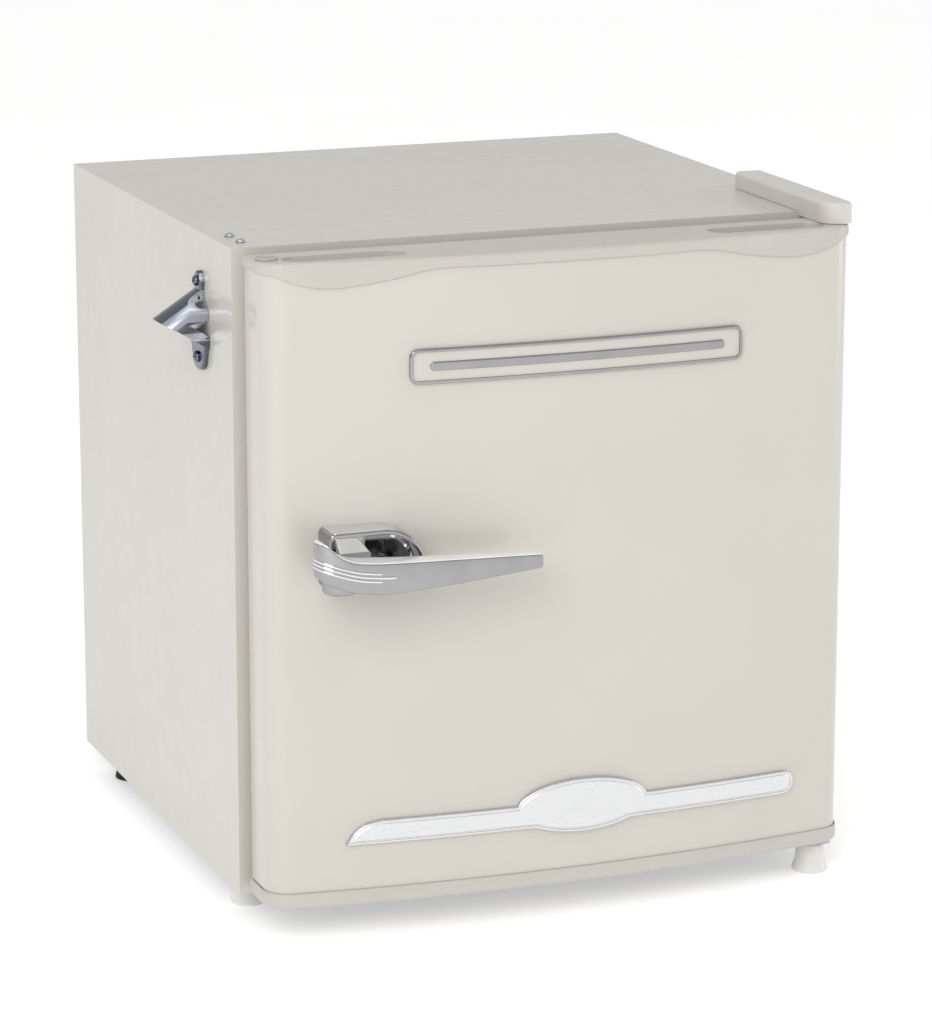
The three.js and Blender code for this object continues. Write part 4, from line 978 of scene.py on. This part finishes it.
def opener_hood():
    """The hollow arch, trimmed to its outline from the side and from the end."""
    inner = opener_arch(OPENER_HOOD - OPENER_WALL, OPENER_WALL, 30)
    shell = combined(opener_arch(OPENER_HOOD, 0, 26), inner)
    side = [(0, 446), (0, 421), (12, 418.2), (23.7, 414.6), (34.2, 420.6), (40, 446)]
    shell = combined(shell, from_side(side, 20), "INTERSECT")
    shoulder = curve_through([(16, 420), (15, 426.5), (10, 431.5), (6.6, 435), (6, 440)], 6)
    edge = [(16, 400), *(tuple(p) for p in shoulder), (6, 450)]
    outline = [(OPENER_Y + u, z) for u, z in edge] + [(OPENER_Y - u, z) for u, z in edge[::-1]]
    return combined(shell, prism(outline, flat_x, OPENER_X, OPENER_X - 45), "INTERSECT")


def bottle_opener():
    """Two straps, the hood and the hook under it, joined into one casting."""
    y = OPENER_Y
    upper = arc((y, OPENER_TOP), 6.8, -30, 210, 8)
    upper += [(y - 5.6, 438), (y - 6, 433), (y + 6, 433), (y + 5.6, 438)]
    lower = arc((y, OPENER_BOTTOM), (12.5, 9.5), 180, 360, 8)
    lower += [(y + 15.2, 401), (y + 17, 409), (y - 17, 409), (y - 15.2, 401)]
    arm = [(0.2, 409), (0.2, 400.5), (3.4, 402.6), (13, 408.5), (22, 414), (20, 418), (12, 416.5)]
    arm += [(5, 412.5)]
    front = [(y - 17, 399), (y + 17, 399), (y + 17, 407), (y + 14.5, 412), (y + 14.5, 421)]
    front += [(y - 14.5, 421), (y - 14.5, 412), (y - 17, 407)]
    lip = combined(from_side(arm, 17.5), prism(front, flat_x, OPENER_X - 45, OPENER_X + 1), "INTERSECT")
    whole = opener_plate(upper)
    for part in (opener_hood(), opener_plate(lower), lip):
        whole = combined(whole, part, "UNION")
    opener = piece("bottle_opener_casting", whole, "bottle_opener", 30, 0.5, DARK_CHROME)
    # Painted highlight: the faces turned out, forward and up get a lighter chrome than the dark casting.
    give_painted_highlight(opener, (-0.1, -0.85, 0.5), 0.86, PAINTED_HIGHLIGHT_SOFT)


# ---- cooling ----
def coils():
    """Condenser tube in a serpentine behind each side sheet."""
    rows, pitch, radius = 6, 44, 2.0
    for name in ("condenser_coil_left", "condenser_coil_right"):
        low, high = box_mm(name)
        x = (low.x + high.x) / 2
        ends = [low.y + radius, high.y - radius]
        first = high.z - radius - (rows - 1) * pitch
        corners = [(x, 340, low.z + radius), (x, 340, first)]
        for row in range(rows):
            z = first + row * pitch
            corners.append((x, ends[row % 2], z))
            if row < rows - 1:
                corners.append((x, ends[row % 2], z + pitch))
        bm = bmesh.new()
        tube(bm, bent(corners, pitch / 2 - 2), min(radius, (high.x - low.x) / 2), 10)
        piece(name + "_tube", bm, name)


def copper_lines():
    low, high = box_mm("suction_tube")
    radius = (high.x - low.x) / 2
    x = (low.x + high.x) / 2
    corners = [(x, high.y - radius, low.z + radius), (x, high.y - radius, high.z - radius)]
    corners.append((x, low.y + radius, high.z - radius))
    bm = bmesh.new()
    tube(bm, bent(corners, 14), radius, 16)
    piece("suction_line", bm, "suction_tube")

    low, high = box_mm("discharge_tube")
    radius = 2.0
    z, side, back = low.z + radius, low.x + radius, high.y - radius
    corners = [(high.x - radius, 305, z), (-150, 305, z), (-150, 265, z), (side, 265, z)]
    corners += [(side, back, z), (side, back, high.z - radius)]
    bm = bmesh.new()
    tube(bm, bent(corners, 12), radius, 12)
    piece("discharge_line", bm, "discharge_tube")

    low, high, centre, radius = round_mm("filter_drier")
    bottom = low.z
    profile = [(0, bottom), (2.6, bottom), (3, bottom + 0.5), (3, bottom + 9), (3.6, bottom + 11)]
    profile += [(6, bottom + 14), (radius - 0.6, bottom + 17), (radius, bottom + 19)]
    profile += [(radius, bottom + 24), (radius - 0.7, bottom + 25), (radius, bottom + 26)]
    profile += [(r, bottom + high.z - z) for r, z in profile[::-1]]
    turned("drier_cartridge", profile, (centre.x, centre.y, 0), "filter_drier", segments=40)


GROMMETS = [f"compressor_grommet_{k}" for k in range(1, 5)]


def compressor():
    """A welded steel can on a saddle and a pressed foot plate, with the stub of its discharge tube."""
    low, high = box_mm("compressor")
    centre = (low + high) / 2
    x, y, radius = centre.x, centre.y, COMPRESSOR_RADIUS
    can = [(0, 40), (30, 41.5), (44, 46), (53, 54), (57, 64), (58, 74), (58, 103), (58.6, 104.4)]
    can += [(radius, 105), (radius, 108), (59.2, 108.6), (59.2, 109.4), (radius, 110), (radius, 112.5)]
    can += [(58.8, 113.4), (58, 115), (57.4, 138), (54, 151), (47, 161), (36, 169.5), (20, 176), (0, high.z)]
    bm = bmesh.new()
    lathe(bm, can, (x, y, 0), segments=72)
    shape = to_mesh("can", bm)
    plate = rectangle((low.x, high.x), (low.y, high.y), 12)
    narrow = inset(plate, 0.6)
    foot = lofted([flat_z(narrow, 33), flat_z(plate, 33.6), flat_z(plate, 35.4), flat_z(narrow, 36)])
    shape = combined(shape, to_mesh("foot", foot), "UNION")
    saddle = prism(rectangle((x - 40, x + 40), (y - 30, y + 30), 6), flat_z, 34, 60)
    shape = combined(shape, saddle, "UNION")
    for node in GROMMETS:
        mid = round_mm(node)[2]
        hole = prism(arc((mid.x, mid.y), 5.8, 0, 360, 10)[:-1], flat_z, 30, 40)
        shape = combined(shape, hole)
    stub = bmesh.new()
    tube(stub, [(x - radius + 8, y, 120), (x - radius - 9.5, y, 120)], 2.6, 16)
    shape = combined(shape, to_mesh("stub", stub), "UNION")
    piece("compressor_body", shape, "compressor", crease=35, bevel=0.4)


def grommets():
    low_z = box_mm(GROMMETS[0])[0].z
    profile = [(3.2, low_z), (8.4, low_z), (9, low_z + 0.6), (9, 28.4), (8.2, 28.8), (8.2, 29.6), (9, 30)]
    profile += [(9, 32.2), (8.5, 32.7), (5.4, 32.7), (5.4, 36.4), (7.6, 36.4), (8, 36.9), (7.2, 41.2)]
    profile += [(6.6, 42), (3.2, 42), (3.2, low_z)]
    for node in GROMMETS:
        centre = round_mm(node)[2]
        turned(node + "_bush", profile, (centre.x, centre.y, 0), node, segments=36, crease=40)


def gland():
    low, _, centre, _ = round_mm("cord_gland")
    profile = [(3.6, 0), (9, 0), (9.8, 0.6), (10, 1.5), (10, 5.4), (9.4, 6.2), (6.7, 6.2), (6.7, 8.3)]
    profile += [(8, 8.3), (8, 9.1), (7.5, 9.4), (3.6, 9.4), (3.6, 0)]
    place = (centre.x, low.y, centre.z)
    turned("cord_gland_ring", profile, place, "cord_gland", (0, 1, 0), 40, crease=40)


def knob():
    """Thermostat knob: a flat skirt, a scalloped grip and a raised bar across its face."""
    low, high, centre, radius = round_mm("thermostat_knob")
    seat = high.y - 10
    profile = [(0, -10), (3.9, -10), (3.9, 0), (radius - 0.6, 0), (radius, 0.6), (radius, 3.4)]
    profile += [(radius - 0.8, 4.6), (radius - 2, 5), (radius - 3, 12.2), (radius - 4, 13.6)]
    profile += [(radius - 5, 14)]
    bm = bmesh.new()
    lathe(bm, profile + [(0, 14)], (centre.x, seat, centre.z), (0, -1, 0), 96)
    for vert in bm.verts:
        out = Vector((vert.co.x - centre.x, vert.co.z - centre.z))
        if seat - 14 < vert.co.y < seat - 4.8 and out.length > radius - 4.5:
            wave = 1 + 0.025 * math.cos(24 * math.atan2(out.y, out.x))
            vert.co.x = centre.x + out.x * wave
            vert.co.z = centre.z + out.y * wave
    bar = rectangle((centre.x - 1.6, centre.x + 1.6), (centre.z - 9, centre.z + 11), 1.4, 15)
    grip = lofted([flat_y(bar, seat - 13), *rims(bar, flat_y, low.y, 0.8, -1)])
    whole = combined(to_mesh("knob", bm), to_mesh("grip", grip), "UNION")
    piece("thermostat_dial", whole, "thermostat_knob", crease=35)


# ---- trays and seals ----
def bins():
    """Open trays with rounded edges: outside up to the rim, over it and down inside."""
    edge, wall = 3.0, 2.0
    for node in ("lower_bin", "upper_bin"):
        low, high = box_mm(node)
        outline = rectangle((low.x, high.x), (low.y, high.y), [3.6, 3.6, 14, 14])
        inside = inset(outline, wall)
        rings = rims(outline, flat_z, low.z, edge, -1)[::-1]
        rings += [flat_z(outline, high.z - 0.6), flat_z(inset(outline, 0.5), high.z)]
        rings += [flat_z(inset(outline, wall - 0.4), high.z), flat_z(inside, high.z - 0.5)]
        rings += rims(inside, flat_z, low.z + wall, edge - wall + 0.8, -1)
        piece(node + "_shell", lofted(rings), node, crease=40)


def drip_tray():
    """A shallow tray hung by its lip, with a finger pull in front."""
    low, high = box_mm("drip_tray")
    lip, pull_reach, edge, wall = 4.4, 6, 2.4, 1.8
    rim = high.z
    outline = rectangle((low.x + lip, high.x - lip), (low.y + pull_reach, high.y), 4)
    wide = rectangle((low.x, high.x), (low.y + pull_reach, high.y), 4)
    inside = inset(outline, wall)
    rings = rims(outline, flat_z, low.z, edge, -1)[::-1]
    rings += [flat_z(outline, rim - 2.0), flat_z(inset(wide, 0.3), rim - 1.8)]
    rings += [flat_z(wide, rim - 1.5), flat_z(wide, rim - 0.4), flat_z(inset(wide, 0.4), rim)]
    rings += [flat_z(inset(inside, -0.4), rim), flat_z(inside, rim - 0.4)]
    rings += rims(inside, flat_z, low.z + wall, edge - 0.6, -1)
    tab = rectangle((-95, -15), (low.y, low.y + 8), [3, 3, 0, 0])
    narrow = inset(tab, 0.5)
    tab_rings = [flat_z(narrow, rim - 4), flat_z(tab, rim - 3.5)]
    tab_rings += [flat_z(tab, rim - 2.3), flat_z(narrow, rim - 1.8)]
    tray, pull = to_mesh("tray", lofted(rings)), to_mesh("pull", lofted(tab_rings))
    whole = combined(tray, pull, "UNION")
    piece("drip_tray_shell", whole, "drip_tray", crease=40)


def gasket():
    """Magnetic seal: a bellows ring with a flat magnet strip towards the cabinet."""
    low, high = box_mm("door_gasket")
    depth = high.y - low.y
    section = [(1.5, 0), (0.4, 0.12), (0.0, 0.3), (0.9, 0.44), (1.6, 0.54), (0.8, 0.64), (0.0, 0.78)]
    section += [(0.3, 0.94), (1.2, 1.0), (12.6, 1.0), (13.6, 0.94), (14, 0.78), (13.2, 0.62)]
    section += [(12.4, 0.52), (13.2, 0.42), (14, 0.28), (13.6, 0.1), (12.4, 0), (9, 0), (8.4, 0.2)]
    section += [(5.6, 0.2), (5, 0)]
    rings = []
    for d, share in section:
        loop = rectangle((low.x + d, high.x - d), (low.z + d, high.z - d), max(8 - d, 2))
        rings.append(flat_y(loop, low.y + depth * share))
    piece("door_seal", lofted(rings, looped=True), "door_gasket", crease=30)


# CAD shapes that need only their edges rounded: node to edge radius.
ROUNDED_NODES = {
    "cabinet_shell": 1.0, "back_panel": 0.5, "base_pan": 0.5, "inner_liner": 2.5,
    "insulation_foam": 2.0, "evaporator": 0.5, "compressor_plate": 0.5, "relay_cover": 2.5,
    "freezer_frame": 1.2, "freezer_flap": 1.0, "shelf_glass": 1.0, "shelf_front_trim": 0.7,
    "shelf_rear_trim": 0.7, "thermostat_housing": 1.5, "upper_hinge_bracket": 0.5,
    "lower_hinge_bracket": 0.5, "door_foam": 1.0, "door_inner_liner": 1.6,
}


# ---- studio ----
def stage():
    bm = bmesh.new()
    bmesh.ops.create_grid(bm, x_segments=1, y_segments=1, size=30)
    mesh = bpy.data.meshes.new("floor")
    bm.to_mesh(mesh)
    bm.free()
    floor = Finish("floor", Specular_IOR_Level=0.2)
    light, dark = (0.95, 0.95, 0.945, 1), (0.93, 0.93, 0.925, 1)
    floor.set("Base Color", floor.colours(floor.noise(400, 2), (0.3, dark), (0.7, light)))
    floor.set("Roughness", floor.spread(floor.noise(30, 2), 0.75, 0.85))
    floor.shader.inputs["Emission Color"].default_value = (1, 1, 1, 1)
    floor.shader.inputs["Emission Strength"].default_value = 0.3
    mesh.materials.append(floor.material)
    obj = bpy.data.objects.new("floor", mesh)
    bpy.context.scene.collection.objects.link(obj)


def area_light(name, place, size, power):
    """A rectangular softbox that faces the middle of the object."""
    data = bpy.data.lights.new(name, "AREA")
    data.shape = "RECTANGLE"
    data.size, data.size_y = size
    data.energy = power
    obj = bpy.data.objects.new(name, data)
    bpy.context.scene.collection.objects.link(obj)
    obj.location = place
    obj.rotation_mode = "QUATERNION"
    aim = Vector((0, 0, 0.25))
    obj.rotation_quaternion = (aim - Vector(place)).to_track_quat("-Z", "Y")


def lights():
    world = bpy.data.worlds.new("studio")
    bpy.context.scene.world = world
    world.use_nodes = True
    background = world.node_tree.nodes["Background"]
    background.inputs["Color"].default_value = (1.0, 1.0, 1.0, 1)
    background.inputs["Strength"].default_value = 0.7
    area_light("key_softbox", (-1.7, -2.4, 2.0), (1.8, 1.8), 50)
    area_light("right_softbox", (2.6, -0.6, 0.6), (1.0, 1.6), 12)
    area_light("overhead_softbox", (-0.2, -0.7, 2.5), (0.8, 0.7), 5)
    bpy.context.scene.view_settings.view_transform = "Standard"


make_camera()
for node, obj in frame["nodes"].items():
    obj.data.materials.clear()
    obj.data.materials.append(FINISHES[SLOT_OF[node]])
for node, bevel in ROUNDED_NODES.items():
    refined(node, bevel)
for build in (
    door_skin, door_top_cap, door_bottom_cap, badge_plate, bottom_trim, handle_base, handle_lever,
    handle_barrel, hinge_cover, feet, plugs, screws, bottle_opener, coils, copper_lines, compressor,
    grommets, gland, knob, bins, drip_tray, gasket,
):
    build()
stage()
lights()
